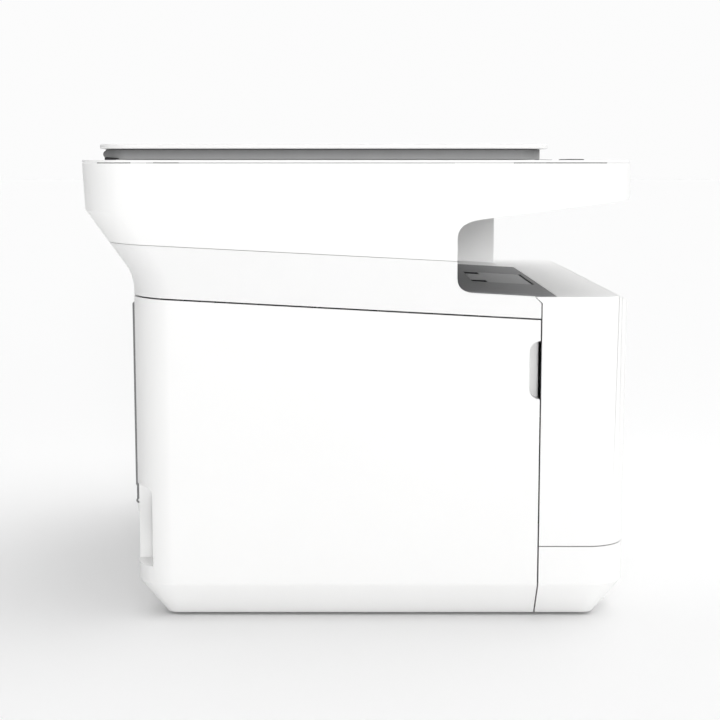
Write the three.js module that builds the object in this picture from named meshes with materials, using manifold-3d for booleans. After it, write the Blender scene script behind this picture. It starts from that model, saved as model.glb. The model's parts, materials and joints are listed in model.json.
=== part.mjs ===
// Multifunction inkjet printer, in millimetres. +Z is up, the front faces -Y, and the left side faces -X.
// The origin is the centre of the bounding box at the plane that the feet stand on.

import * as THREE from 'three';
import { mergeVertices } from 'three/addons/utils/BufferGeometryUtils.js';
import Module from 'manifold-3d';

const wasm = await Module();
wasm.setup();

// ---------------------------------------------------------------- driving dimensions

const HALF_WIDTH = 205.5;
const FRONT = -196.5; // front face of the base
const REAR = 161.5; // rear face of the base
const SCANNER_FRONT = -197.1;
const SCANNER_REAR = 197.1; // the scanner overhangs the base at the back
const CORNER = 28.8; // corner radius of the case in plan
const BASE_Z = 2; // underside of the case, above the feet's soles
const CHAMFER_IN = 20.5; // chamfer round the bottom of the base: how far in
const CHAMFER_UP = 26.4; // and how far up
const SKIN = 2.5; // wall of the moulded covers
const GAP = 0.3; // between pieces that touch
const DOOR_Y = -131.6; // seam between the side covers and the front door and tray
const HALF_DOOR_SEAM = 0.5;
const TRAY_TOP = 56.8; // top of the paper tray's front
const DOOR_BOTTOM = 57.5;
const BAY_FRONT_Z = 238.5; // height of the output bay's front sill
const BEZEL_Z = 333; // underside of the scanner bezel
const BEZEL_SEAM = 0.5;
const BEZEL_TOP = 334.8;
const PAPER_X = -46; // centre line of the paper path
const A4_WIDTH = 210;
const A4_LENGTH = 297;
const INSIDE_X = HALF_WIDTH - SKIN; // inner face of the side covers

// The two long seams of the case rise towards the back: height at y = 0, and rise per millimetre of y.
const LOWER_SEAM = { z: 229.5, rise: 0.0534, gap: 1.1 };
const UPPER_SEAM = { z: 267.35, rise: 0.0513, gap: 0.3 };

// ---------------------------------------------------------------- colours and finishes

const finishes = {
  white: { color: 0xf3f3f2, roughness: 0.45, metalness: 0 },
  lidGrey: { color: 0x6a6b6d, roughness: 0.6, metalness: 0 },
  trayGrey: { color: 0x4a4b4d, roughness: 0.7, metalness: 0 },
  flapGrey: { color: 0x5a5b5d, roughness: 0.6, metalness: 0 },
  black: { color: 0x1d1e20, roughness: 0.6, metalness: 0 },
  key: { color: 0x2b2c2e, roughness: 0.4, metalness: 0 },
  display: { color: 0x0b0c0e, roughness: 0.12, metalness: 0 },
  steel: { color: 0xb4b7ba, roughness: 0.3, metalness: 1 },
  plate: { color: 0x9fa3a6, roughness: 0.45, metalness: 1 },
  rubber: { color: 0x242426, roughness: 0.9, metalness: 0 },
  belt: { color: 0x17181a, roughness: 0.8, metalness: 0 },
  glass: { color: 0xc9d6d6, roughness: 0.05, metalness: 0 },
  board: { color: 0x1f5b3a, roughness: 0.5, metalness: 0 },
  film: { color: 0xcfd0c8, roughness: 0.2, metalness: 0 },
  pad: { color: 0xf5f5f4, roughness: 0.9, metalness: 0 },
};

const group = new THREE.Group();

function addPiece(name, shape, finish) {
  const mesh = shape.getMesh();
  const geometry = new THREE.BufferGeometry();
  geometry.setAttribute('position', new THREE.BufferAttribute(mesh.vertProperties, 3));
  geometry.setIndex(new THREE.BufferAttribute(mesh.triVerts, 1));
  geometry.computeVertexNormals();
  const piece = new THREE.Mesh(geometry, new THREE.MeshStandardMaterial(finishes[finish]));
  piece.name = name;
  group.add(piece);
}

// ---------------------------------------------------------------- solids

function solid(geometry) {
  geometry.deleteAttribute('normal');
  geometry.deleteAttribute('uv');
  const merged = mergeVertices(geometry, 1e-4);
  const vertProperties = new Float32Array(merged.attributes.position.array);
  const triVerts = new Uint32Array(merged.index.array);
  return new wasm.Manifold(new wasm.Mesh({ numProp: 3, vertProperties, triVerts }));
}

function union(pieces) {
  return pieces.reduce((whole, piece) => whole.add(piece));
}

function box(x0, x1, y0, y1, z0, z1) {
  const geometry = new THREE.BoxGeometry(x1 - x0, y1 - y0, z1 - z0);
  geometry.translate((x0 + x1) / 2, (y0 + y1) / 2, (z0 + z1) / 2);
  return solid(geometry);
}

const AXES = {
  X: new THREE.Matrix4().makeRotationZ(-Math.PI / 2),
  Y: new THREE.Matrix4(),
  Z: new THREE.Matrix4().makeRotationX(Math.PI / 2),
};

// A round bar along X, Y or Z. a and b are its centre on the other two axes, in X, Y, Z order.
function bar(axis, a, b, radius, from, to, sides = 24) {
  const geometry = new THREE.CylinderGeometry(radius, radius, to - from, sides);
  geometry.applyMatrix4(AXES[axis]);
  const middle = (from + to) / 2;
  const centres = { X: [middle, a, b], Y: [a, middle, b], Z: [a, b, middle] };
  geometry.translate(...centres[axis]);
  return solid(geometry);
}

function outline(points) {
  return new THREE.Shape(points.map(([u, v]) => new THREE.Vector2(u, v)));
}

function roundedRectangle(u0, u1, v0, v1, radius) {
  const shape = new THREE.Shape();
  shape.moveTo(u0 + radius, v0);
  shape.lineTo(u1 - radius, v0);
  shape.absarc(u1 - radius, v0 + radius, radius, -Math.PI / 2, 0, false);
  shape.lineTo(u1, v1 - radius);
  shape.absarc(u1 - radius, v1 - radius, radius, 0, Math.PI / 2, false);
  shape.lineTo(u0 + radius, v1);
  shape.absarc(u0 + radius, v1 - radius, radius, Math.PI / 2, Math.PI, false);
  shape.lineTo(u0, v0 + radius);
  shape.absarc(u0 + radius, v0 + radius, radius, Math.PI, Math.PI * 1.5, false);
  return shape;
}

const Y_Z_OUTLINE = new THREE.Matrix4().set(0, 0, 1, 0, 1, 0, 0, 0, 0, 1, 0, 0, 0, 0, 0, 1);
const X_Z_OUTLINE = new THREE.Matrix4().set(1, 0, 0, 0, 0, 0, -1, 0, 0, 1, 0, 0, 0, 0, 0, 1);

// Prisms: an outline in y and z drawn along X, in x and z along Y, or in x and y along Z.
function prismX(shape, x0, x1, curveSegments = 6) {
  const geometry = new THREE.ExtrudeGeometry(shape, { depth: x1 - x0, bevelEnabled: false, curveSegments });
  geometry.applyMatrix4(Y_Z_OUTLINE);
  geometry.translate(x0, 0, 0);
  return solid(geometry);
}

function prismY(shape, y0, y1, curveSegments = 6) {
  const geometry = new THREE.ExtrudeGeometry(shape, { depth: y1 - y0, bevelEnabled: false, curveSegments });
  geometry.applyMatrix4(X_Z_OUTLINE);
  geometry.translate(0, y1, 0);
  return solid(geometry);
}

function prismZ(shape, z0, z1, curveSegments = 6) {
  const geometry = new THREE.ExtrudeGeometry(shape, { depth: z1 - z0, bevelEnabled: false, curveSegments });
  geometry.translate(0, 0, z0);
  return solid(geometry);
}

// ---------------------------------------------------------------- the case's outer and inner volumes

const FAR = 260; // beyond every face of the object
const TALL = 400;

// The base, drawn in by inset on every face: its plan outline, with the chamfer round the bottom.
function baseVolume(inset, top) {
  const x = HALF_WIDTH - CHAMFER_IN - inset;
  const front = FRONT + CHAMFER_IN + inset;
  const rear = REAR - CHAMFER_IN - inset;
  const footprint = roundedRectangle(-x, x, front, rear, CORNER - CHAMFER_IN - inset);
  const geometry = new THREE.ExtrudeGeometry(footprint, {
    depth: TALL,
    bevelEnabled: true,
    bevelSegments: 1,
    bevelSize: CHAMFER_IN,
    bevelThickness: CHAMFER_UP,
    curveSegments: 6,
  });
  geometry.translate(0, 0, BASE_Z + inset + CHAMFER_UP);
  return solid(geometry).intersect(box(-FAR, FAR, -FAR, FAR, 0, top));
}

// The back of the scanner, from the bottom up: height, and how far back it reaches there.
// It curves out of the back of the base and leans out up to its crease.
const BACK_LEVELS = [
  [0, REAR],
  [243, REAR],
  [247, 161.9],
  [252, 163],
  [257.3, 165.2],
  [298.3, 194.5],
  [300, 195.5],
  [332, SCANNER_REAR],
  [TALL, SCANNER_REAR],
];

// The scanner and the frame under it: at every height a rounded rectangle that ends at the back.
function scannerVolume(inset, z0, z1) {
  const x = HALF_WIDTH - inset;
  const rings = BACK_LEVELS.map(([z, back]) => {
    const plan = roundedRectangle(-x, x, SCANNER_FRONT + inset, back - inset, CORNER - inset);
    return plan.getPoints(6).map((point) => [point.x, point.y, z]);
  });
  const storeys = [];
  for (let i = 1; i < rings.length; i += 1) {
    storeys.push(wasm.Manifold.hull([...rings[i - 1], ...rings[i]]));
  }
  return union(storeys).intersect(box(-FAR, FAR, -FAR, FAR, z0, z1));
}

// Everything below, or above, a sloping seam.
function belowSeam(seam) {
  const z = seam.z - seam.gap / 2;
  const rise = seam.rise * FAR;
  return prismX(outline([[-FAR, -10], [FAR, -10], [FAR, z + rise], [-FAR, z - rise]]), -FAR, FAR);
}

function aboveSeam(seam) {
  const z = seam.z + seam.gap / 2;
  const rise = seam.rise * FAR;
  return prismX(outline([[-FAR, z - rise], [FAR, z + rise], [FAR, TALL], [-FAR, TALL]]), -FAR, FAR);
}

function seamHeight(seam, y) {
  return seam.z + seam.rise * y;
}

// ---------------------------------------------------------------- side covers and rear panel

const COVER_EDGE_X = 172; // where each side cover ends and the rear panel starts
const POCKET_SKIN = 2; // wall behind a pocket
const GRIP = { rear: -123.4, z0: 165, z1: 207, corner: 8, depth: 13 };
const INLET = { front: 148.3, z0: 41, z1: 99.5, corner: 6, inner: 172 }; // recess in the left rear corner

// The finger grip, a D on its side that is open to the front. grow widens it by a wall.
function gripOutline(grow) {
  const rear = GRIP.rear + grow;
  const z0 = GRIP.z0 - grow;
  const z1 = GRIP.z1 + grow;
  const radius = GRIP.corner + grow;
  const shape = new THREE.Shape();
  shape.moveTo(DOOR_Y - 1, z0);
  shape.lineTo(rear - radius, z0);
  shape.absarc(rear - radius, z0 + radius, radius, -Math.PI / 2, 0, false);
  shape.absarc(rear - radius, z1 - radius, radius, 0, Math.PI / 2, false);
  shape.lineTo(DOOR_Y - 1, z1);
  return shape;
}

function inletOutline(grow) {
  const front = INLET.front - grow;
  const z1 = INLET.z1 + grow;
  const radius = INLET.corner + grow;
  const shape = new THREE.Shape();
  shape.moveTo(front, INLET.z0 - grow);
  shape.lineTo(REAR + 1, INLET.z0 - grow);
  shape.lineTo(REAR + 1, z1);
  shape.lineTo(front + radius, z1);
  shape.absarc(front + radius, z1 - radius, radius, Math.PI / 2, Math.PI, false);
  return shape;
}

// A box between two distances from the middle plane, on the left (side -1) or the right (side 1).
function sideBox(side, near, far, y0, y1, z0, z1) {
  const [x0, x1] = side < 0 ? [-far, -near] : [near, far];
  return box(x0, x1, y0, y1, z0, z1);
}

function sidePrism(side, shape, near, far) {
  return side < 0 ? prismX(shape, -far, -near) : prismX(shape, near, far);
}

function sideCover(side) {
  const wall = baseVolume(0, FAR).subtract(baseVolume(SKIN, FAR));
  let cover = wall.intersect(sideBox(side, COVER_EDGE_X, FAR, -FAR, FAR, 0, FAR));
  const pocketFloor = HALF_WIDTH - GRIP.depth;
  cover = cover.add(sidePrism(side, gripOutline(POCKET_SKIN), pocketFloor - POCKET_SKIN, HALF_WIDTH - 1));
  cover = cover.subtract(sidePrism(side, gripOutline(0), pocketFloor, HALF_WIDTH + 1));
  if (side < 0) {
    const liner = sidePrism(side, inletOutline(POCKET_SKIN), INLET.inner, HALF_WIDTH);
    cover = cover.add(liner.intersect(baseVolume(0, FAR)));
    cover = cover.subtract(sidePrism(side, inletOutline(0), INLET.inner + POCKET_SKIN, HALF_WIDTH + 1));
    cover = cover.subtract(inletSocketBlock(GAP));
  }
  const behindSeam = box(-FAR, FAR, DOOR_Y + HALF_DOOR_SEAM, FAR, 0, FAR);
  return cover.intersect(behindSeam).intersect(belowSeam(LOWER_SEAM));
}

const SOCKET = { x: -186, z: 72, halfWidth: 9, halfHeight: 13, depth: 24 };

function inletSocketBlock(grow) {
  const [w, h] = [SOCKET.halfWidth + grow, SOCKET.halfHeight + grow];
  const back = INLET.front - SOCKET.depth;
  return box(SOCKET.x - w, SOCKET.x + w, back, INLET.front, SOCKET.z - h, SOCKET.z + h);
}

function powerInlet() {
  const mouth = roundedRectangle(SOCKET.x - 6.5, SOCKET.x + 6.5, SOCKET.z - 10, SOCKET.z + 10, 3);
  let inlet = inletSocketBlock(0).subtract(prismY(mouth, INLET.front - 16, INLET.front + 1));
  for (const z of [SOCKET.z - 4.5, SOCKET.z + 4.5]) {
    inlet = inlet.add(bar('Y', SOCKET.x, z, 1.2, INLET.front - 17, INLET.front - 3, 10));
  }
  return inlet;
}

const REAR_DOOR = { x0: -160.5, x1: 78, z0: 87.5, z1: 231.4, proud: 4.3, axisY: 164, axisZ: 80.5 };
const PORTS = { x0: 104, x1: 160, z0: 150, z1: 214, depth: 10 };
const VENTS = { x0: 104.5, pitch: 5.3, count: 11, width: 2.4, z0: 92, z1: 134 };

function rearPanel() {
  const edge = COVER_EDGE_X - GAP;
  const wall = baseVolume(0, FAR).subtract(baseVolume(SKIN, FAR));
  const span = box(-edge, edge, REAR - CHAMFER_IN - 12, FAR, 0, FAR);
  let panel = wall.intersect(span);
  // opening that the rear access door closes
  const { x0, x1, z0, z1 } = REAR_DOOR;
  panel = panel.subtract(box(x0 + 6, x1 - 6, REAR - 10, REAR + 10, z0 + 8, z1 - 8));
  panel = panel.subtract(box(PORTS.x0, PORTS.x1, REAR - 10, REAR + 10, PORTS.z0, PORTS.z1));
  for (const x of [x0 + 12, x1 - 12]) {
    panel = panel.add(hingeLug(x));
  }
  // cooling slots
  for (let i = 0; i < VENTS.count; i += 1) {
    const x = VENTS.x0 + i * VENTS.pitch;
    panel = panel.subtract(box(x, x + VENTS.width, REAR - 10, REAR + 1, VENTS.z0, VENTS.z1));
  }
  return panel.intersect(belowSeam(LOWER_SEAM));
}

// A lug with a peg at each end, which the rear door turns on.
function hingeLug(x) {
  const { axisY, axisZ } = REAR_DOOR;
  const lug = box(x - 5, x + 5, REAR - 1, axisY + 2, axisZ - 9, axisZ);
  const nose = bar('X', axisY, axisZ, 2.3, x - 5, x + 5, 16);
  return union([lug, nose, bar('X', axisY, axisZ, 1, x - 8.4, x + 8.4, 12)]);
}

function rearDoor() {
  const { x0, x1, z0, z1, proud, axisY, axisZ } = REAR_DOOR;
  const outer = REAR + proud;
  const inner = REAR + GAP;
  const profile = outline([
    [inner, z0 + 1], [outer - 3, z0], [outer, z0 + 6], [outer, z1 - 1.5], [outer - 1.5, z1], [inner, z1],
  ]);
  let door = prismX(profile, x0, x1);
  // grip recess near the top
  door = door.subtract(box(-66, -16, REAR + 1.8, outer + 1, 183, 200));
  // curved paper guide on the inside
  const guide = outline([
    [REAR + 1, 110], [REAR + 1, 215], [REAR - 6, 210], [REAR - 8, 190], [REAR - 8, 140], [REAR - 4, 115],
  ]);
  for (let i = 0; i < 5; i += 1) {
    const x = x0 + 22 + i * 46;
    door = door.add(prismX(guide, x, x + 3));
  }
  // ears that turn on the pegs, one each side of both lugs
  for (const x of [x0 + 3, x0 + 17.5, x1 - 20.5, x1 - 6]) {
    door = door.add(box(x, x + 3, axisY - 2, axisY + 1.6, axisZ, z0 + 4));
    door = door.add(bar('X', axisY, axisZ, 2.2, x, x + 3, 16));
  }
  return door.subtract(bar('X', axisY, axisZ, 1.3, x0 - 1, x1 + 1, 16));
}

function portPanel() {
  const { x0, x1, z0, z1, depth } = PORTS;
  const [front, back] = [REAR - SKIN - GAP, REAR - depth];
  let panel = box(x0 - 3, x1 + 3, back - 2, back, z0 - 3, z1 + 3);
  panel = panel.add(box(x0 - 3, x1 + 3, back - 1, front, z0 - 3, z1 + 3));
  panel = panel.subtract(box(x0, x1, back, front + 1, z0, z1));
  // one square port over one wide port, each a metal shell's mouth
  for (const [x, z, w, h] of [[122, 192, 8, 7.5], [122, 168, 8.5, 7], [146, 180, 6, 3]]) {
    panel = panel.add(box(x - w - 1, x + w + 1, back - 14, back + 1.5, z - h - 1, z + h + 1));
    panel = panel.subtract(box(x - w, x + w, back - 11, back + 2, z - h, z + h));
    panel = panel.add(box(x - w + 3, x + w - 3, back - 12, back - 2, z - 1.2, z + 1.2));
  }
  return panel;
}

// ---------------------------------------------------------------- upper frame and output bay

// The side openings of the output bay: the outline that the scanner's skirt and the frame share.
const BAY = {
  rear: -71.4,
  roof: 280,
  floorBend: 252,
  sillRear: 241.2,
  right: 154.5,
  columnFront: -128.8,
  columnRear: 132,
};
const COLUMN_TOP = 290.5;
const EXIT = { y: 141, z: 251, radius: 6, x0: -196, x1: 112 };

function bayCutOutline() {
  const shape = new THREE.Shape();
  shape.moveTo(BAY.rear, BAY.floorBend);
  shape.quadraticCurveTo(BAY.rear, BAY.sillRear + 0.4, -84, BAY.sillRear);
  shape.lineTo(-127.2, BAY_FRONT_Z + 0.3);
  shape.lineTo(-FAR, BAY_FRONT_Z + 0.3);
  shape.lineTo(-FAR, 316);
  shape.lineTo(-187.1, 306);
  shape.lineTo(-88, 293.1);
  shape.quadraticCurveTo(BAY.rear, 291, BAY.rear, BAY.roof);
  return shape;
}

const FLOOR = { x0: -202.3, x1: 103.5, front: -142.5, rear: 131, z: BAY_FRONT_Z, rise: 0.055, thick: 2.5 };

function floorHeight(y) {
  return FLOOR.z + FLOOR.rise * (y - FLOOR.front);
}

// A slab that follows the output tray's slope, from top down by thick.
function slopedSlab(x0, x1, y0, y1, top, thick) {
  const [a, b] = [floorHeight(y0) + top, floorHeight(y1) + top];
  return prismX(outline([[y0, a - thick], [y1, b - thick], [y1, b], [y0, a]]), x0, x1);
}

function upperFrame() {
  const ring = scannerVolume(0, 200, 300).subtract(scannerVolume(SKIN, 199, 301));
  const doorCorner = outline([
    [-FAR, 200], [-131.3, 200], [-131.3, 233.9], [-126.9, 238.3], [-126.9, 300], [-FAR, 300],
  ]);
  let frame = ring.intersect(aboveSeam(LOWER_SEAM)).subtract(prismX(doorCorner, -FAR, FAR));
  frame = frame.subtract(prismX(bayCutOutline(), -FAR, FAR));
  // right-hand column: the wall of the bay and the front face that meets the door
  const { right, columnFront, columnRear } = BAY;
  const columnFoot = BAY_FRONT_Z - 8;
  const column = box(right, INSIDE_X - 0.4, columnFront, columnRear, columnFoot, COLUMN_TOP);
  const tie = box(INSIDE_X - 2, INSIDE_X + 0.1, BAY.rear + 2, columnRear - 20, columnFoot, COLUMN_TOP);
  const [wallLeft, wallRight] = [right + SKIN, INSIDE_X - SKIN];
  const [hollowFront, hollowRear] = [columnFront + SKIN, columnRear - SKIN];
  const hollow = box(wallLeft, wallRight, hollowFront, hollowRear, BAY_FRONT_Z - 20, COLUMN_TOP + 1);
  frame = frame.add(column.subtract(hollow).add(tie).intersect(aboveSeam(LOWER_SEAM)));
  // ledge between the output tray and the column
  frame = frame.add(slopedSlab(FLOOR.x1 + GAP, right + 1, columnFront, FLOOR.rear, 0, SKIN));
  // bearers under the output tray
  for (const y of [-82, 120]) {
    frame = frame.add(slopedSlab(-INSIDE_X - 0.5, FLOOR.x1 + 8, y, y + 8, -FLOOR.thick - GAP, 6));
  }
  // brackets for the exit roller
  for (const x of [EXIT.x0, EXIT.x1]) {
    const bracket = box(x - 1.5, x + 1.5, EXIT.y - 5, REAR - 1, EXIT.z - 8, EXIT.z + 5);
    const hole = bar('X', EXIT.y, EXIT.z, SHAFT + GAP, x - 2, x + 2, 16);
    frame = frame.add(bracket.subtract(hole).intersect(scannerVolume(1, 200, 300)));
  }
  // the column rises above the seam, inside the scanner's skirt
  const [roomFront, roomRear] = [columnFront - 1, columnRear + 1];
  const columnRoom = box(right - 1, INSIDE_X - 0.4, roomFront, roomRear, columnFoot - 2, COLUMN_TOP + 1);
  return frame.intersect(belowSeam(UPPER_SEAM).add(columnRoom));
}

function outputTray() {
  let tray = slopedSlab(FLOOR.x0, FLOOR.x1, FLOOR.front, FLOOR.rear, 0, FLOOR.thick);
  const pocket = flapPocket();
  tray = tray.add(slopedSlab(pocket.x0 - 2, pocket.x1 + 2, pocket.y0 - 1, pocket.y1 + 2, 0, 5));
  tray = tray.subtract(slopedSlab(pocket.x0, pocket.x1, pocket.y0, pocket.y1, 1, 4.6));
  tray = tray.subtract(fingerSlot(-1, 0.4)).subtract(fingerSlot(1, 0.4));
  const axisZ = floorHeight(FLAP.axisY) - FLAP.drop;
  tray = tray.subtract(bar('X', FLAP.axisY, axisZ, 1.2, FLAP.x0 - 1.9, FLAP.x1 + 1.9, 12));
  // low ribs that carry the paper, behind the stop
  for (let i = 0; i < 6; i += 1) {
    const x = PAPER_X - 100 + i * 40;
    tray = tray.add(slopedSlab(x - 1, x + 1, -70, 126, 0.8, 1.5));
  }
  return tray;
}

const FLAP = { x0: -97.5, x1: 9.5, front: -136.6, rear: -90.5, thick: 2.4, axisY: -135.5, drop: 1.9 };
const FINGER_SLOT = { width: 22, length: 12 }; // at the two free corners of the stop

function flapPocket() {
  return { x0: FLAP.x0 - 0.4, x1: FLAP.x1 + 0.4, y0: FLAP.front - 1.9, y1: FLAP.rear + 0.5 };
}

// The corner that is cut out of the stop, grown outwards by reach.
function fingerSlot(side, reach) {
  const { width, length } = FINGER_SLOT;
  const [x0, x1] = side < 0 ? [FLAP.x0 - reach, FLAP.x0 + width] : [FLAP.x1 - width, FLAP.x1 + reach];
  return slopedSlab(x0, x1, FLAP.rear - length, FLAP.rear + reach, 3, 12);
}

// The stop lies in its pocket and folds up about its front edge.
function paperStop() {
  const { x0, x1, front, rear, thick } = FLAP;
  const top = -0.2;
  let flap = slopedSlab(x0, x1, front, rear, top, thick);
  const axisZ = floorHeight(FLAP.axisY) - FLAP.drop;
  flap = flap.add(bar('X', FLAP.axisY, axisZ, 1.3, x0, x1, 16));
  flap = flap.add(bar('X', FLAP.axisY, axisZ, 0.9, x0 - 1.6, x1 + 1.6, 12));
  return flap.subtract(fingerSlot(-1, 1)).subtract(fingerSlot(1, 1));
}

// ---------------------------------------------------------------- front door

const HINGE = { y: -191, z: 64, arm: 150 };

function frontDoor() {
  const top = BAY_FRONT_Z;
  const wall = baseVolume(0, top).subtract(baseVolume(SKIN, top - SKIN));
  const radius = 10;
  const profile = new THREE.Shape();
  profile.moveTo(DOOR_Y - HALF_DOOR_SEAM, DOOR_BOTTOM);
  profile.lineTo(DOOR_Y - HALF_DOOR_SEAM, 233.9);
  profile.lineTo(-127.1, top);
  profile.lineTo(FRONT + radius, top);
  profile.absarc(FRONT + radius, top - radius, radius, Math.PI / 2, Math.PI, false);
  // the bottom edge is rounded about the hinge so that it clears the paper tray
  profile.lineTo(FRONT, HINGE.z - 4);
  profile.absarc(HINGE.y, HINGE.z, 6.8, Math.PI + 0.63, Math.PI * 1.5 - 0.3, false);
  let door = wall.intersect(prismX(profile, -FAR, FAR));
  // the inside of the rounded top edge
  const inner = new THREE.Shape();
  inner.moveTo(FRONT + 0.5, top - radius - 2);
  inner.lineTo(FRONT + radius + 2, top - radius - 2);
  inner.lineTo(FRONT + radius + 2, top - 0.5);
  inner.absarc(FRONT + radius, top - radius, radius - 0.1, Math.PI / 2, Math.PI, false);
  const core = bar('X', FRONT + radius, top - radius, radius - SKIN, -INSIDE_X, INSIDE_X, 24);
  const corner = prismX(inner, -196, 196).subtract(core).intersect(baseVolume(0.1, top));
  door = door.add(corner);
  // room for the output tray's front edge and for the frame's ledge
  const trayBack = FLOOR.front - 0.4;
  door = door.subtract(box(FLOOR.x0 - 0.7, FLOOR.x1 + 1, trayBack, 0, top - 6, top + 1));
  door = door.subtract(box(FLOOR.x1, INSIDE_X - 0.1, -129.5, 0, top - 6, top + 1));
  // stiffening ribs behind the front wall
  for (const x of [-110, -40, 30, 100]) {
    door = door.add(box(x - 1, x + 1, FRONT + 1, FRONT + 8, 84, top - radius + 2));
  }
  // ears that turn on the pegs of the two hinge arms
  for (const x of [-HINGE.arm, HINGE.arm]) {
    for (const offset of [-7.5, 4.5]) {
      const ear = box(x + offset, x + offset + 3, FRONT + 1, HINGE.y, HINGE.z - 2.7, HINGE.z + 2.7);
      door = door.add(ear.add(bar('X', HINGE.y, HINGE.z, 2.7, x + offset, x + offset + 3, 16)));
    }
    door = door.subtract(bar('X', HINGE.y, HINGE.z, 1.5, x - 8, x + 8, 16));
  }
  return door;
}

// ---------------------------------------------------------------- base pan and feet

const PAN_Z = 4.8;

function basePan() {
  const [left, right] = [-INSIDE_X + 21, INSIDE_X - 21];
  const rear = REAR - CHAMFER_IN - 1;
  let pan = box(left, right, -130.5, rear, PAN_Z, PAN_Z + 2.4);
  // side walls that rise inside the chamfer and carry the chassis plates
  for (const side of [-1, 1]) {
    const [a, b] = [side * (INSIDE_X - 4), side * (INSIDE_X - 22)];
    const t = side * 3; // thickness of the web
    const web = outline([[a, 30], [a, 60], [a - t, 60], [a - t, 31], [b - t, PAN_Z], [b, PAN_Z]]);
    pan = pan.add(prismY(web, -130.5, rear));
    // arm that reaches forward over the paper tray to the front door's hinge
    const x = side * HINGE.arm;
    const arm = box(x - 3, x + 3, HINGE.y + 7, -124, HINGE.z - 2.7, HINGE.z + 12);
    const nose = box(x - 3, x + 3, HINGE.y, HINGE.y + 8, HINGE.z - 2.7, HINGE.z + 2.7);
    const eye = bar('X', HINGE.y, HINGE.z, 2.7, x - 3, x + 3, 16);
    const pegs = bar('X', HINGE.y, HINGE.z, 1.2, x - 7.2, x + 7.2, 16);
    const [beam0, beam1] = side < 0 ? [-INSIDE_X + 4, x + 3] : [x - 3, INSIDE_X - 4];
    const beam = box(beam0, beam1, -130.5, -124, 58.5, HINGE.z + 12);
    const bearing = box(x - 3, x + 3, TURN.y - 8, TURN.y + 8, HINGE.z + 11, TURN.z + 6);
    const bore = bar('X', TURN.y, TURN.z, SHAFT + GAP, x - 4, x + 4, 16);
    pan = pan.add(union([arm, nose, eye, pegs, beam, bearing]).subtract(bore));
  }
  // deck over the tray that carries the mechanism, open where the paper rises
  pan = pan.add(box(-INSIDE_X + 5, INSIDE_X - 5, -60, 120, DECK_Z - 2.4, DECK_Z));
  return pan.intersect(baseVolume(SKIN + GAP, FAR));
}

const FOOT = { radius: 11, x: 150, front: -112, rear: 112 };

function foot(x, y) {
  const { radius } = FOOT;
  const top = PAN_Z - GAP;
  const profile = [[0, 0], [radius - 1, 0], [radius, 1], [radius, top], [0, top]];
  const geometry = new THREE.LatheGeometry(profile.map(([r, z]) => new THREE.Vector2(r, z)), 24);
  geometry.applyMatrix4(AXES.Z);
  geometry.translate(x, y, 0);
  return solid(geometry);
}

// ---------------------------------------------------------------- paper tray

const PAN = { x0: -170, x1: 78, front: -186, rear: 139, z0: 7.5, z1: 50 };
const TRAY_GRIP = { x: 46, z0: 36, z1: 50, corner: 5, back: -188.5 }; // pocket in the tray's front

function paperTray() {
  const seam = DOOR_Y - HALF_DOOR_SEAM;
  const wall = baseVolume(0, TRAY_TOP).subtract(baseVolume(SKIN, TRAY_TOP - SKIN));
  let tray = wall.intersect(box(-FAR, FAR, -FAR, seam, 0, TRAY_TOP));
  const { x0, x1, front, rear, z0, z1 } = PAN;
  // deck that ties the front to the pan
  const deck = box(-FAR, FAR, -FAR, seam, z0, z0 + SKIN);
  tray = tray.add(deck.intersect(baseVolume(1, TRAY_TOP)));
  // the pan, open at the top
  tray = tray.add(box(x0, x1, front, rear, z0, z1));
  const [left, right, floor] = [x0 + SKIN, x1 - SKIN, z0 + SKIN];
  tray = tray.subtract(box(left, right, front + SKIN, rear - SKIN, floor, TRAY_TOP + 1));
  // pocket for the fingers that pull the tray out
  const grip = TRAY_GRIP;
  const skin = POCKET_SKIN;
  const [wide, low, high] = [grip.x + skin, grip.z0 - skin, grip.z1 + skin];
  const liner = roundedRectangle(-wide, wide, low, high, grip.corner + skin);
  const pocket = roundedRectangle(-grip.x, grip.x, grip.z0, grip.z1, grip.corner);
  tray = tray.add(prismY(liner, FRONT + 1, front + 1));
  return tray.subtract(prismY(pocket, FRONT - 1, grip.back));
}

function widthGuide(side) {
  const x = PAPER_X + side * (A4_WIDTH / 2 + 1);
  const z = PAN.z0 + SKIN + GAP;
  const [thin, wide] = side < 0 ? [x - 2, x - 12] : [x, x + 10];
  const fence = box(thin, thin + 2, -120, 30, z, 47);
  return fence.add(box(Math.min(thin, wide), Math.max(thin + 2, wide + 2), -60, -20, z, z + 3));
}

function lengthGuide() {
  const y = PAN.front + SKIN + A4_LENGTH + 1;
  const z = PAN.z0 + SKIN + GAP;
  const fence = box(PAPER_X - 30, PAPER_X + 30, y, y + 2, z, 46);
  return fence.add(box(PAPER_X - 18, PAPER_X + 18, y, y + 14, z, z + 4));
}

// ---------------------------------------------------------------- scanner

const CEILING_Z = 293;

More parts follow.
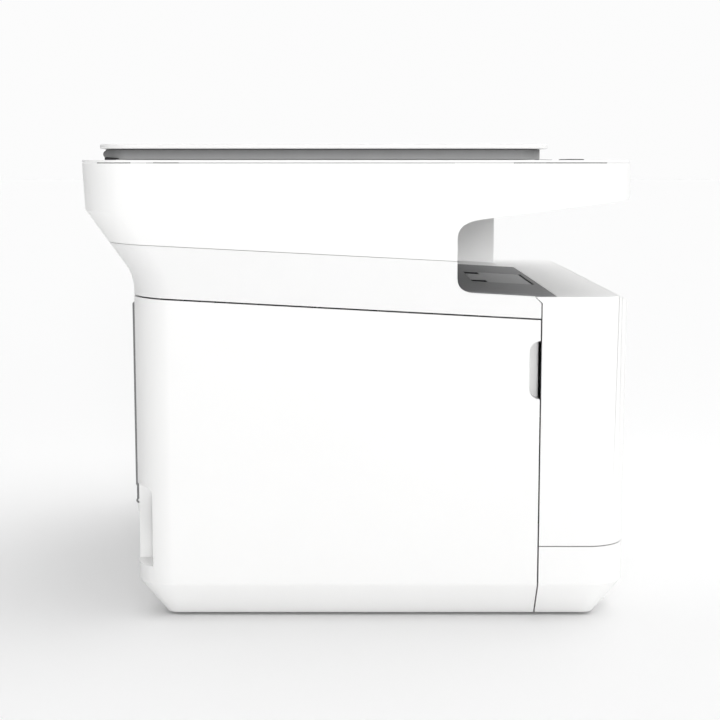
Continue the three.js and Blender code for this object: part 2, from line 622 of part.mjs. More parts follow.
function scannerHousing() {
  const shell = scannerVolume(0, 240, BEZEL_Z - BEZEL_SEAM).subtract(scannerVolume(SKIN, 239, BEZEL_Z));
  let housing = shell.intersect(aboveSeam(UPPER_SEAM));
  housing = housing.subtract(prismX(bayCutOutline(), -FAR, FAR));
  // ceiling of the bay, stepping up with the slanted front
  const roof = outline([
    [-194.8, 306.5], [-187, 306.5], [-100, CEILING_Z + 2], [-80, CEILING_Z], [192, CEILING_Z],
    [192, CEILING_Z + 2.5], [-80, CEILING_Z + 2.5], [-100, CEILING_Z + 4.5], [-187, 309], [-194.8, 309],
  ]);
  housing = housing.add(prismX(roof, -FAR, FAR).intersect(scannerVolume(1, 240, 330)));
  // bosses that hold the ends of the scan head's rod
  for (const x of [GLASS.x0 - 14, GLASS.x1 + 6]) {
    const boss = box(x, x + 8, ROD.y - 8, ROD.y + 8, CEILING_Z + 1, ROD.z + 6);
    housing = housing.add(boss.subtract(bar('X', ROD.y, ROD.z, ROD.radius + GAP, x - 1, x + 9, 20)));
  }
  return housing;
}

const ROD = { y: 46, z: 305, radius: 3 };
const GLASS = { x0: -158, x1: 150, y0: -72, y1: 154 };
const PANEL = { x0: -120, x1: 120, y0: -190, y1: -143 };

function scannerBezel() {
  const outlineShape = roundedRectangle(-HALF_WIDTH, HALF_WIDTH, SCANNER_FRONT, SCANNER_REAR, CORNER);
  let bezel = prismZ(outlineShape, BEZEL_Z, BEZEL_TOP);
  const { x0, x1, y0, y1 } = GLASS;
  bezel = bezel.subtract(box(x0 + 4, x1 - 4, y0 + 4, y1 - 4, 300, TALL));
  bezel = bezel.subtract(box(PANEL.x0, PANEL.x1, PANEL.y0, PANEL.y1, 300, TALL));
  for (const side of [-1, 1]) {
    bezel = bezel.subtract(hingeSlot(side, GAP));
  }
  return bezel;
}

function scannerGlass() {
  const { x0, x1, y0, y1 } = GLASS;
  return box(x0, x1, y0, y1, BEZEL_Z - GAP - 3, BEZEL_Z - GAP);
}

function scanHead() {
  const x = GLASS.x0 + 14;
  let head = box(x - 9, x + 9, GLASS.y0 + 4, GLASS.y1 - 4, 312, 327.5);
  head = head.subtract(box(x - 4, x + 4, GLASS.y0 + 8, GLASS.y1 - 8, 322, 330));
  head = head.add(box(x - 9, x + 9, ROD.y - 10, ROD.y + 10, 299, 312.5));
  return head.subtract(bar('X', ROD.y, ROD.z, ROD.radius + GAP, x - 10, x + 10, 20));
}

function scanHeadRod() {
  return bar('X', ROD.y, ROD.z, ROD.radius, GLASS.x0 - 13, GLASS.x1 + 13, 20);
}

function controlPanel() {
  const { x0, x1, y0, y1 } = PANEL;
  let panel = box(x0 + GAP, x1 - GAP, y0 + GAP, y1 - GAP, 330, BEZEL_TOP);
  // shallow well that frames the display
  panel = panel.subtract(box(-30, 60, -184, -149, BEZEL_TOP - 0.6, TALL));
  for (const x of KEYS.x) {
    panel = panel.subtract(bar('Z', x, KEYS.y, KEYS.radius + GAP, 329, TALL));
  }
  return panel;
}

const KEYS = { x: [-104, -78, 88], y: -166.5, radius: 8 };

function key(x) {
  return bar('Z', x, KEYS.y, KEYS.radius, 327, BEZEL_TOP + 0.9);
}

// ---------------------------------------------------------------- lid

const LID = { x: 196.5, front: -137.5, rear: 184.5, z0: 342.7, z1: 346.1, radius: 22 };
const LID_FRAME = { x: 190.5, front: -131.8, rear: 180.5, z0: 335.1, radius: 16 };
const LID_AXIS = { y: 181.5, z: 339 };

function lidPlate() {
  const shape = roundedRectangle(-LID.x + 1, LID.x - 1, LID.front + 1, LID.rear - 1, LID.radius - 1);
  const geometry = new THREE.ExtrudeGeometry(shape, {
    depth: LID.z1 - LID.z0 - 2,
    bevelEnabled: true,
    bevelSegments: 2,
    bevelSize: 1,
    bevelThickness: 1,
    curveSegments: 6,
  });
  geometry.translate(0, 0, LID.z0 + 1);
  return solid(geometry);
}

function lidFrame() {
  const { x, front, rear, z0, radius } = LID_FRAME;
  const top = LID.z0 - GAP;
  let frame = prismZ(roundedRectangle(-x, x, front, rear, radius), z0, top);
  const wall = 4;
  const inside = roundedRectangle(wall - x, x - wall, front + wall, rear - wall, radius - wall);
  frame = frame.subtract(prismZ(inside, z0 - 1, top - 2));
  for (const side of [-1, 1]) {
    frame = frame.subtract(hingeKnuckleRoom(side));
    const x0 = side * HINGE_X;
    frame = frame.add(bar('X', LID_AXIS.y, LID_AXIS.z, 2.6, x0 - 16, x0 - 9, 16));
    frame = frame.add(bar('X', LID_AXIS.y, LID_AXIS.z, 2.6, x0 + 9, x0 + 16, 16));
    frame = frame.add(bar('X', LID_AXIS.y, LID_AXIS.z, 1.3, x0 - 10, x0 + 10, 16));
  }
  return frame;
}

const HINGE_X = 150;

function hingeKnuckleRoom(side) {
  const x = side * HINGE_X;
  return box(x - 9, x + 9, LID_AXIS.y - 14, LID_AXIS.y + 10, 330, LID.z0 - GAP + 1);
}

function hingeSlot(side, grow) {
  const x = side * HINGE_X;
  return box(x - 8 - grow, x + 8 + grow, 168 - grow, 190 + grow, 300, TALL);
}

function lidHinge(side) {
  const x = side * HINGE_X;
  const block = box(x - 8, x + 8, 168, 190, 316, BEZEL_TOP - 0.1);
  const knuckle = bar('X', LID_AXIS.y, LID_AXIS.z, 2.9, x - 8, x + 8, 16);
  const neck = box(x - 8, x + 8, LID_AXIS.y - 2.9, LID_AXIS.y + 2.9, BEZEL_TOP - 1, LID_AXIS.z);
  return union([block, neck, knuckle]).subtract(bar('X', LID_AXIS.y, LID_AXIS.z, 1.6, x - 9, x + 9, 16));
}

function documentPad() {
  const { x0, x1, y0, y1 } = GLASS;
  return box(x0 - 4, x1 + 4, y0 - 4, y1 + 4, BEZEL_TOP + GAP, LID.z0 - GAP - 2 - GAP);
}

// ---------------------------------------------------------------- printing mechanism

const PLATE_X = 197.2; // inner faces of the two chassis plates
const GUIDE = { y: 30, z: 140, radius: 4 };
const BELT = { y0: 40, y1: 46, z: 188, radius: 12, x: 180, thick: 1.1 };
const FEED = { y: -60, z: 107, radius: 7.7 };
const TRANSPORT = { y: 60, z: 107, radius: 7.7 };
const TURN = { y: -148, z: 92, radius: 22 };
const PICKUP = { y: -112, z: 68, radius: 13.5 };
const SHAFT = 3;
const DECK_Z = 60;

function chassisPlate(side) {
  const [x0, x1] = side < 0 ? [-PLATE_X - 1.5, -PLATE_X] : [PLATE_X, PLATE_X + 1.5];
  const top = (y) => seamHeight(LOWER_SEAM, y) - 6;
  const foot = DECK_Z + GAP;
  let plate = prismX(outline([[-118, foot], [126, foot], [126, top(126)], [-118, top(-118)]]), x0, x1);
  const windows = [[-104, -74, 130, 205], [-50, -22, 156, 205], [-14, 14, 156, 205], [76, 112, 90, 212]];
  for (const [y0, y1, z0, z1] of windows) {
    plate = plate.subtract(prismX(roundedRectangle(y0, y1, z0, z1, 6), x0 - 1, x1 + 1, 3));
  }
  for (const { y, z } of [FEED, TRANSPORT, PICKUP]) {
    plate = plate.subtract(bar('X', y, z, SHAFT + GAP, x0 - 1, x1 + 1, 16));
  }
  return plate.subtract(bar('X', GUIDE.y, GUIDE.z, GUIDE.radius + GAP, x0 - 1, x1 + 1, 20));
}

function guideRod() {
  return bar('X', GUIDE.y, GUIDE.z, GUIDE.radius, -PLATE_X - 2.5, PLATE_X + 2.5, 24);
}

function carriageRail() {
  const x = PLATE_X - GAP;
  // a bent sheet: a foot, a web, and a lip at the top that the carriage's heel runs in
  const profile = outline([
    [54, 130], [68, 130], [68, 132], [56, 132], [56, 212], [50, 212], [50, 214], [54, 216],
    [56, 216], [56, 218], [48, 218], [48, 210], [54, 210],
  ]);
  let rail = prismX(profile, -x, x);
  for (const side of [-1, 1]) {
    rail = rail.subtract(bar('Y', side * BELT.x, BELT.z, 3.2, 50, 60, 16));
  }
  return rail;
}

function encoderStrip() {
  const x = PLATE_X - GAP;
  return box(-x, x, 37.4, 38, 203, 209);
}

function pulley(side, shaftEnd) {
  const x = side * BELT.x;
  const { y0, y1, z, radius } = BELT;
  const rim = radius + 2.4;
  const rims = bar('Y', x, z, rim, y0 - 1.6, y0 - 0.6).add(bar('Y', x, z, rim, y1 + 0.6, y1 + 1.6));
  const drum = bar('Y', x, z, radius - 0.2, y0 - 1.6, y1 + 1.6, 32);
  return union([rims, drum, bar('Y', x, z, 2.4, y1 + 1, shaftEnd, 16)]);
}

// The belt's loop: two half circles and two straight runs.
function beltLoop(radius) {
  const shape = new THREE.Shape();
  shape.absarc(-BELT.x, BELT.z, radius, Math.PI / 2, Math.PI * 1.5, false);
  shape.absarc(BELT.x, BELT.z, radius, -Math.PI / 2, Math.PI / 2, false);
  return shape;
}

function carriageBelt() {
  const inner = BELT.radius + GAP;
  const outer = prismY(beltLoop(inner + BELT.thick), BELT.y0, BELT.y1, 12);
  return outer.subtract(prismY(beltLoop(inner), BELT.y0 - 1, BELT.y1 + 1, 12));
}

function carriageMotor() {
  const body = bar('Y', BELT.x, BELT.z, 14.5, 64, 96, 28).add(bar('Y', BELT.x, BELT.z, 5, 56.6, 65, 20));
  return body.subtract(bar('Y', BELT.x, BELT.z, 2.7, 50, 62, 16));
}

const CARRIAGE = { x: 148, halfWidth: 38, y0: -45, y1: 36, z0: 118, z1: 200 }; // parked at the right
const CELL = { count: 4, width: 16.6, divider: 1.2, y1: 20, z0: 124 };

function cellCentre(index) {
  return CARRIAGE.x + (index - (CELL.count - 1) / 2) * (CELL.width + CELL.divider);
}

function printCarriage() {
  const { x, halfWidth, y0, y1, z0, z1 } = CARRIAGE;
  let carriage = box(x - halfWidth, x + halfWidth, y0, y1, z0 + 4, z1);
  carriage = carriage.add(box(x - halfWidth + 8, x + halfWidth - 8, -16, 16, z0, z0 + 5));
  for (let i = 0; i < CELL.count; i += 1) {
    const centre = cellCentre(i);
    const [from, to] = [centre - CELL.width / 2, centre + CELL.width / 2];
    carriage = carriage.subtract(box(from, to, y0 - 1, CELL.y1, CELL.z0, z1 + 1));
  }
  // low sides at the front, so that a cartridge can be gripped
  const slope = outline([[y0 - 1, 160], [-10, z1 + 1], [y0 - 1, z1 + 1]]);
  carriage = carriage.subtract(prismX(slope, x - halfWidth - 1, x + halfWidth + 1));
  const bore = GUIDE.radius + GAP;
  carriage = carriage.subtract(bar('X', GUIDE.y, GUIDE.z, bore, x - halfWidth - 1, x + halfWidth + 1, 24));
  // clamp on the belt's lower run
  const run = BELT.z - BELT.radius - GAP - BELT.thick;
  const clamp = box(x - 12, x + 12, y1 - 1, BELT.y1 + 3, run - 4, run + 5);
  const slot = box(x - 13, x + 13, BELT.y0 - GAP, BELT.y1 + GAP, run - GAP, run + BELT.thick + GAP);
  return carriage.add(clamp.subtract(slot));
}

function inkCartridge(index) {
  const x = cellCentre(index);
  const half = CELL.width / 2 - GAP;
  const [back, foot] = [CELL.y1 - GAP, CELL.z0 + GAP];
  const profile = outline([[-42, foot], [back, foot], [back, 192], [6, 192], [-14, 184], [-42, 184]]);
  const body = prismX(profile, x - half, x + half);
  const tab = prismX(outline([[-46, 172], [-41, 168], [-41, 184], [-46, 184]]), x - half + 2, x + half - 2);
  return body.add(tab);
}

function platen() {
  const [x0, x1] = [PAPER_X - 119, PAPER_X + 119];
  let shape = box(x0, x1, -49, 49, 108, 111).subtract(box(x0 + 6, x1 - 6, -14, 14, 107, 112));
  // trough under the slot
  shape = union([
    shape,
    box(x0, x1, -15, 15, 104, 106),
    box(x0, x1, -15, -13, 104, 109),
    box(x0, x1, 13, 15, 104, 109),
  ]);
  for (let i = 0; i < 9; i += 1) {
    const x = x0 + 8 + i * ((x1 - x0 - 16) / 8);
    shape = shape.add(box(x - 1, x + 1, -47, 47, 105, 114.4));
  }
  // legs down to the deck
  for (const x of [x0, x1 - 4]) {
    shape = shape.add(box(x, x + 4, -30, 45, DECK_Z + GAP, 109));
  }
  return shape;
}

function maintenanceStation() {
  const { x } = CARRIAGE;
  let station = box(x - 34, x + 36, -44, 36, DECK_Z + GAP, 100);
  station = station.subtract(box(x - 31, x + 33, -41, 33, 74, 101));
  station = station.add(box(x - 24, x + 24, -18, 18, 72, 108));
  for (const side of [-1, 1]) {
    const cap = box(x + side * 14 - 9, x + side * 14 + 9, -14, 14, 107, 117.4);
    station = station.add(cap.subtract(box(x + side * 14 - 7, x + side * 14 + 7, -12, 12, 111, 118)));
  }
  return station.add(box(x - 33.5, x - 30, -12, 12, 90, 117.4));
}

// A shaft between two x, with rollers spread over the paper's width.
function rollerShaft(roller, x0, x1, count) {
  let shaft = bar('X', roller.y, roller.z, SHAFT, x0, x1, 12);
  const pitch = A4_WIDTH / count;
  for (let i = 0; i < count; i += 1) {
    const x = PAPER_X - A4_WIDTH / 2 + pitch * (i + 0.5);
    shaft = shaft.add(bar('X', roller.y, roller.z, roller.radius, x - pitch * 0.36, x + pitch * 0.36, 20));
  }
  return shaft;
}

const GEAR_X = [-196.2, -190];
const MODULE = 1.5; // pitch diameter of a gear is its teeth times this
const GEAR = { addendum: 1.1, dedendum: 1.8, play: 0.6, lean: 0.36 };
const ROLLER_TEETH = 28;
const IDLER_TEETH = 52;
const PINION_TEETH = 11;
const IDLER = { y: 0, z: FEED.z };

// A spur gear with straight-sided teeth. phase is the direction of the first tooth's middle.
function gear(y, z, teeth, phase) {
  const pitchRadius = (teeth * MODULE) / 2;
  const halfTooth = (Math.PI * MODULE - GEAR.play) / 4;
  const points = [];
  for (let i = 0; i < teeth; i += 1) {
    const middle = phase + (i / teeth) * Math.PI * 2;
    const corners = [
      [-halfTooth - GEAR.dedendum * GEAR.lean, -GEAR.dedendum],
      [-halfTooth + GEAR.addendum * GEAR.lean, GEAR.addendum],
      [halfTooth - GEAR.addendum * GEAR.lean, GEAR.addendum],
      [halfTooth + GEAR.dedendum * GEAR.lean, -GEAR.dedendum],
    ];
    for (const [along, out] of corners) {
      const turn = middle + along / pitchRadius;
      const reach = pitchRadius + out;
      points.push([y + reach * Math.cos(turn), z + reach * Math.sin(turn)]);
    }
  }
  return prismX(outline(points), ...GEAR_X);
}

function drivenRoller(roller) {
  const shaft = rollerShaft(roller, -PLATE_X - 3, PLATE_X + 3, 4);
  return shaft.add(gear(roller.y, roller.z, ROLLER_TEETH, 0));
}

// The idler has a gap, not a tooth, where it faces each roller's gear.
const IDLER_PHASE = Math.PI / IDLER_TEETH;

function idlerGear() {
  const hub = bar('X', IDLER.y, IDLER.z, 6, -PLATE_X + GAP, GEAR_X[1] + 3, 20);
  let wheel = gear(IDLER.y, IDLER.z, IDLER_TEETH, IDLER_PHASE).add(hub);
  const holes = 6;
  for (let i = 0; i < holes; i += 1) {
    const turn = (i / holes) * Math.PI * 2;
    const [y, z] = [IDLER.y + 23 * Math.cos(turn), IDLER.z + 23 * Math.sin(turn)];
    wheel = wheel.subtract(bar('X', y, z, 8, GEAR_X[0] - 1, GEAR_X[1] + 1, 12));
  }
  return wheel;
}

// The motor's pinion meets the idler from below, in one of the idler's gaps.
const IDLER_PITCH = (Math.PI * 2) / IDLER_TEETH;
const PINION_ANGLE = -Math.PI * 0.75 - ((Math.PI * 0.25) % IDLER_PITCH);
const PINION_REACH = ((IDLER_TEETH + PINION_TEETH) * MODULE) / 2;
const PINION_Y = IDLER.y + PINION_REACH * Math.cos(PINION_ANGLE);
const PINION_Z = IDLER.z + PINION_REACH * Math.sin(PINION_ANGLE);

function motorPinion() {
  const teeth = gear(PINION_Y, PINION_Z, PINION_TEETH, PINION_ANGLE + Math.PI);
  return teeth.add(bar('X', PINION_Y, PINION_Z, 2, GEAR_X[0], -180, 12));
}

function feedMotor() {
  const body = bar('X', PINION_Y, PINION_Z, 12.5, -188, -168, 24);
  return body.subtract(bar('X', PINION_Y, PINION_Z, 2.3, -189, -178, 12));
}

function turnRoller() {
  return rollerShaft(TURN, -HINGE.arm - 4, HINGE.arm + 4, 3);
}

function exitRoller() {
  return rollerShaft(EXIT, EXIT.x0 - 3, EXIT.x1 + 3, 4);
}

function pickupRoller() {
  const shaft = bar('X', PICKUP.y, PICKUP.z, SHAFT, -PLATE_X - 3, PLATE_X + 3, 16);
  return shaft.add(bar('X', PICKUP.y, PICKUP.z, PICKUP.radius, PAPER_X - 20, PAPER_X + 20, 28));
}

function powerSupply() {
  let supply = box(-172, -66, 78, 128, DECK_Z + GAP, 104);
  for (let i = 0; i < 7; i += 1) {
    const x = -160 + i * 13;
    supply = supply.subtract(box(x, x + 5, 84, 122, 102.5, 105));
  }
  return supply;
}

function mainBoard() {
  let board = box(92, 188, 128, 129.6, 120, 214);
  // chips and connectors: middle, half sizes and depth
  const parts = [[120, 190, 9, 9, 3], [150, 196, 7, 5, 2], [168, 160, 6, 10, 6], [112, 148, 14, 5, 5]];
  for (const [x, z, w, h, d] of parts) {
    board = board.add(box(x - w, x + w, 128 - d, 128.5, z - h, z + h));
  }
  return board;
}

// ---------------------------------------------------------------- the assembly

addPiece('base_pan', basePan(), 'black');
addPiece('left_side_cover', sideCover(-1), 'white');
addPiece('right_side_cover', sideCover(1), 'white');
addPiece('rear_panel', rearPanel(), 'white');
addPiece('port_panel', portPanel(), 'black');
addPiece('power_inlet', powerInlet(), 'black');
addPiece('rear_door', rearDoor(), 'trayGrey');
addPiece('upper_frame', upperFrame(), 'white');
addPiece('output_tray', outputTray(), 'trayGrey');
addPiece('paper_stop', paperStop(), 'flapGrey');
addPiece('front_door', frontDoor(), 'white');
addPiece('foot_front_left', foot(-FOOT.x, FOOT.front), 'rubber');
addPiece('foot_front_right', foot(FOOT.x, FOOT.front), 'rubber');
addPiece('foot_rear_left', foot(-FOOT.x, FOOT.rear), 'rubber');
addPiece('foot_rear_right', foot(FOOT.x, FOOT.rear), 'rubber');

addPiece('paper_tray', paperTray(), 'white');
addPiece('width_guide_left', widthGuide(-1), 'flapGrey');
addPiece('width_guide_right', widthGuide(1), 'flapGrey');
addPiece('length_guide', lengthGuide(), 'flapGrey');

addPiece('scanner_housing', scannerHousing(), 'white');
addPiece('scanner_bezel', scannerBezel(), 'white');
addPiece('scanner_glass', scannerGlass(), 'glass');
addPiece('scan_head', scanHead(), 'black');
addPiece('scan_head_rod', scanHeadRod(), 'steel');
addPiece('control_panel', controlPanel(), 'display');
addPiece('power_key', key(KEYS.x[0]), 'key');
addPiece('copy_key', key(KEYS.x[1]), 'key');
addPiece('cancel_key', key(KEYS.x[2]), 'key');
addPiece('lid_plate', lidPlate(), 'white');
addPiece('lid_frame', lidFrame(), 'lidGrey');
addPiece('document_pad', documentPad(), 'pad');
addPiece('lid_hinge_left', lidHinge(-1), 'black');
addPiece('lid_hinge_right', lidHinge(1), 'black');

addPiece('chassis_plate_left', chassisPlate(-1), 'plate');
addPiece('chassis_plate_right', chassisPlate(1), 'plate');
addPiece('carriage_rail', carriageRail(), 'plate');
addPiece('guide_rod', guideRod(), 'steel');
addPiece('print_carriage', printCarriage(), 'black');
for (const [i, ink] of ['black', 'cyan', 'magenta', 'yellow'].entries()) {
  addPiece(`ink_cartridge_${ink}`, inkCartridge(i), 'black');
}
addPiece('encoder_strip', encoderStrip(), 'film');
addPiece('carriage_belt', carriageBelt(), 'belt');
addPiece('carriage_motor', carriageMotor(), 'steel');
addPiece('motor_pulley', pulley(1, 60), 'film');
addPiece('idler_pulley', pulley(-1, 58), 'film');
addPiece('platen', platen(), 'black');
addPiece('maintenance_station', maintenanceStation(), 'black');
addPiece('feed_roller', drivenRoller(FEED), 'rubber');
addPiece('transport_roller', drivenRoller(TRANSPORT), 'rubber');
addPiece('idler_gear', idlerGear(), 'film');
addPiece('motor_pinion', motorPinion(), 'steel');
addPiece('feed_motor', feedMotor(), 'steel');
addPiece('turn_roller', turnRoller(), 'rubber');
addPiece('exit_roller', exitRoller(), 'rubber');
addPiece('pickup_roller', pickupRoller(), 'rubber');
addPiece('power_supply', powerSupply(), 'plate');
addPiece('main_board', mainBoard(), 'board');

export default group;
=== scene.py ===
# Visual model of a multifunction inkjet printer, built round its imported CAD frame.
# Metres, +Z up. The front faces -Y and the left side faces -X.
# From the section of small closed shapes on, lengths written without MM are millimetres.

import json
import math
import random

import bmesh
import bpy
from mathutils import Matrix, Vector


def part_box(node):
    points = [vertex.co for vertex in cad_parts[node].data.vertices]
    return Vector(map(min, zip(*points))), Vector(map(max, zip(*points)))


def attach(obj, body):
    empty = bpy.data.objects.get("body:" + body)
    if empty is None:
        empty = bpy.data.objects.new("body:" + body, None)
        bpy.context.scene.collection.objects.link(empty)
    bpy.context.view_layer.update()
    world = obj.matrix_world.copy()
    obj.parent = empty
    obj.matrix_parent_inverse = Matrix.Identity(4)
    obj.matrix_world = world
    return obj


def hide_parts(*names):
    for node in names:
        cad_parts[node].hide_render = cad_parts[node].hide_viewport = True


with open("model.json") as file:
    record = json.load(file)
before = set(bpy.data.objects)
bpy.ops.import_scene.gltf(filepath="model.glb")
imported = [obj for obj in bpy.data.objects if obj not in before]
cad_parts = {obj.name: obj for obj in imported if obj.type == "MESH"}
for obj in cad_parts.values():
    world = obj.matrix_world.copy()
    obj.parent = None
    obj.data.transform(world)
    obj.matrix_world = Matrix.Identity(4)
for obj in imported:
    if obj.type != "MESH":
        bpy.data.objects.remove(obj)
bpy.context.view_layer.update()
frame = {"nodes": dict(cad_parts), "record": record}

MM = 0.001
SEED = 7
record = frame["record"]
BODY_OF = {n: body for body, nodes in record["behaviour"]["bodies"].items() for n in nodes}
SLOT_OF = {part["node"]: part["material_slot"] for part in record["subparts"]}


# ---------------------------------------------------------------- camera, light and floor

CAMERA_PLACE = (-1.2655, -0.0025, 0.3327)  # off the left side
CAMERA_PITCH = 7.482  # degrees below the horizon
LENS = 75  # millimetres
SENSOR = 36
NEAREST_SEEN = 0.05
FLOOR_REACH = 30
FLOOR_WHITE = (0.93, 0.93, 0.93)


def add_camera():
    data = bpy.data.cameras.new("camera")
    data.lens = LENS
    data.sensor_width = SENSOR
    data.clip_start = NEAREST_SEEN
    camera = bpy.data.objects.new("camera", data)
    camera.location = CAMERA_PLACE
    camera.rotation_euler = (math.radians(90 - CAMERA_PITCH), 0, math.radians(-90))
    bpy.context.scene.collection.objects.link(camera)
    bpy.context.scene.camera = camera


def add_sun(name, towards, strength, spread):
    """A distant light, softer the wider its spread in degrees. towards points at it from the object."""
    data = bpy.data.lights.new(name, "SUN")
    data.energy = strength
    data.angle = math.radians(spread)
    sun = bpy.data.objects.new(name, data)
    sun.rotation_mode = "QUATERNION"
    sun.rotation_quaternion = Vector(towards).to_track_quat("Z", "Y")
    bpy.context.scene.collection.objects.link(sun)


def add_world(seen, light):
    """The studio round the object: white where it is seen, and a dimmer even light on the object."""
    world = bpy.data.worlds.new("studio")
    world.use_nodes = True
    bpy.context.scene.world = world
    tree = world.node_tree
    tree.nodes.clear()
    output = tree.nodes.new("ShaderNodeOutputWorld")
    mix = tree.nodes.new("ShaderNodeMixShader")
    ray = tree.nodes.new("ShaderNodeLightPath")
    shades = []
    for strength in (light, seen):
        background = tree.nodes.new("ShaderNodeBackground")
        background.inputs["Color"].default_value = (1, 1, 1, 1)
        background.inputs["Strength"].default_value = strength
        shades.append(background)
    tree.links.new(ray.outputs["Is Camera Ray"], mix.inputs["Fac"])
    tree.links.new(shades[0].outputs[0], mix.inputs[1])
    tree.links.new(shades[1].outputs[0], mix.inputs[2])
    tree.links.new(mix.outputs[0], output.inputs["Surface"])


def add_floor(half_size, color):
    mesh = bpy.data.meshes.new("floor")
    corners = [(half_size * x, half_size * y, 0) for x, y in ((-1, -1), (1, -1), (1, 1), (-1, 1))]
    mesh.from_pydata(corners, [], [(0, 1, 2, 3)])
    floor = bpy.data.objects.new("floor", mesh)
    material = bpy.data.materials.new("floor_paper")
    material.use_nodes = True
    shader = material.node_tree.nodes["Principled BSDF"]
    shader.inputs["Base Color"].default_value = (*color, 1)
    shader.inputs["Roughness"].default_value = 1
    shader.inputs["Specular IOR Level"].default_value = 0
    mesh.materials.append(material)
    bpy.context.scene.collection.objects.link(floor)


add_camera()
add_sun("front_dome", (-0.15, -1, 0.25), 1.05, 150)
add_sun("overhead_softbox", (0.45, -0.1, 1), 2.38, 120)
add_sun("side_softbox", (-1, -0.5, 0.02), 0.5, 36)
add_sun("camera_side_light", (-1, -0.14, 0.131), 1.08, 10)
add_world(seen=0.972, light=0.14)
add_floor(FLOOR_REACH, FLOOR_WHITE)
bpy.context.scene.view_settings.view_transform = "Standard"


# ---------------------------------------------------------------- materials

WAVE_SCALE = 1 / math.pi  # at this scale the wave texture makes about one stripe per unit


class Look:
    """A material with one Principled shader. Its patterns lie in the object's own coordinates."""

    def __init__(self, name, color, roughness, **sockets):
        self.material = bpy.data.materials.new(name)
        self.material.use_nodes = True
        self.tree = self.material.node_tree
        self.shader = self.tree.nodes["Principled BSDF"]
        self.color = color
        self.shader.inputs["Base Color"].default_value = (*color, 1)
        self.shader.inputs["Roughness"].default_value = roughness
        for socket, value in sockets.items():
            self.shader.inputs[socket.replace("_", " ")].default_value = value
        self.place = self.tree.nodes.new("ShaderNodeTexCoord").outputs["Object"]
        self.normal = None

    def node(self, kind, inputs=None, **settings):
        made = self.tree.nodes.new("ShaderNode" + kind)
        for key, value in settings.items():
            setattr(made, key, value)
        for socket, value in (inputs or {}).items():
            if isinstance(value, bpy.types.NodeSocket):
                self.tree.links.new(value, made.inputs[socket])
            else:
                made.inputs[socket].default_value = value
        return made

    def placed(self, size):
        """Coordinates that repeat about once per size: a length, or one length for each axis."""
        sizes = size if isinstance(size, tuple) else (size,) * 3
        scale = tuple(1 / s for s in sizes)
        return self.node("Mapping", {"Vector": self.place, "Scale": scale}).outputs["Vector"]

    def noise(self, size, detail, rough=0.5):
        inputs = {"Vector": self.placed(size), "Scale": 1.0, "Detail": detail, "Roughness": rough}
        return self.node("TexNoise", inputs).outputs["Fac"]

    def cells(self, size, feature="F1"):
        inputs = {"Vector": self.placed(size), "Scale": 1.0}
        return self.node("TexVoronoi", inputs, feature=feature).outputs["Distance"]

    def cell_colors(self, size):
        inputs = {"Vector": self.placed(size), "Scale": 1.0}
        return self.node("TexVoronoi", inputs).outputs["Color"]

    def stripes(self, size, axis):
        inputs = {"Vector": self.placed(size), "Scale": WAVE_SCALE}
        return self.node("TexWave", inputs, bands_direction=axis).outputs["Fac"]

    def spread(self, value, low, high, start, end):
        inputs = {"Value": value, "From Min": start, "From Max": end, "To Min": low, "To Max": high}
        return self.node("MapRange", inputs).outputs["Result"]

    def tint(self, factor, first, second):
        mix = self.node("Mix", data_type="RGBA")
        self.tree.links.new(factor, mix.inputs["Factor"])
        for socket, color in (("A", first), ("B", second)):
            target = [s for s in mix.inputs if s.name == socket and s.type == "RGBA"][0]
            if isinstance(color, bpy.types.NodeSocket):
                self.tree.links.new(color, target)
            else:
                target.default_value = (*color, 1)
        result = [s for s in mix.outputs if s.type == "RGBA"][0]
        self.tree.links.new(result, self.shader.inputs["Base Color"])
        return result

    def vary_roughness(self, factor, low, high, start=0.0, end=1.0):
        self.tree.links.new(self.spread(factor, low, high, start, end), self.shader.inputs["Roughness"])

    def bump(self, height, depth, strength):
        inputs = {"Height": height, "Distance": depth, "Strength": strength}
        if self.normal is not None:
            inputs["Normal"] = self.normal
        self.normal = self.node("Bump", inputs).outputs["Normal"]
        self.tree.links.new(self.normal, self.shader.inputs["Normal"])


def shade(color, factor):
    return tuple(min(1.0, c * factor) for c in color)


def moulded(name, color, roughness, grain=0.55 * MM, depth=0.02 * MM, mottle=0.02, **sockets):
    """Injection-moulded plastic: spark-eroded grain, faint flow marks and a slightly uneven sheen."""
    look = Look(name, color, roughness, **sockets)
    look.tint(look.noise(70 * MM, 3), shade(color, 1 - mottle), shade(color, 1 + mottle))
    look.vary_roughness(look.noise(9 * MM, 4, 0.6), roughness - 0.07, roughness + 0.09)
    look.bump(look.noise(42 * MM, 2), 0.12 * MM, 0.25)
    look.bump(look.cells(grain, "SMOOTH_F1"), depth, 0.6)
    return look


def rubbed(look):
    """Faint streaks where paper slides over the surface, along Y."""
    width, length = 0.5 * MM, 60 * MM
    threshold = 0.63
    streaks = look.noise((width, length, width), 5, 0.65)
    mask = look.spread(streaks, 0, 0.35, threshold, threshold + 0.12)
    look.tint(mask, look.color, shade(look.color, 1.9))
    look.bump(streaks, 0.01 * MM, 0.4)
    return look


def painted_shade_upwards(look, bottom, top):
    """Painted shade: a grey that deepens towards the top of a wall, between two heights, for the shadow
    under an overhang.
    """
    height = look.node("SeparateXYZ", {"Vector": look.place}).outputs["Z"]
    look.tint(look.spread(height, 0, 1, bottom, top), look.color, shade(look.color, 0.3))
    return look


def rubber(name, color, roughness=0.85):
    """Dull rubber with a fine uneven grain."""
    look = Look(name, color, roughness, Specular_IOR_Level=0.3)
    look.tint(look.noise(6 * MM, 5, 0.7), shade(color, 0.75), shade(color, 1.35))
    look.vary_roughness(look.noise(1.2 * MM, 3), roughness - 0.12, roughness + 0.1)
    look.bump(look.noise(0.35 * MM, 3), 0.03 * MM, 0.8)
    return look


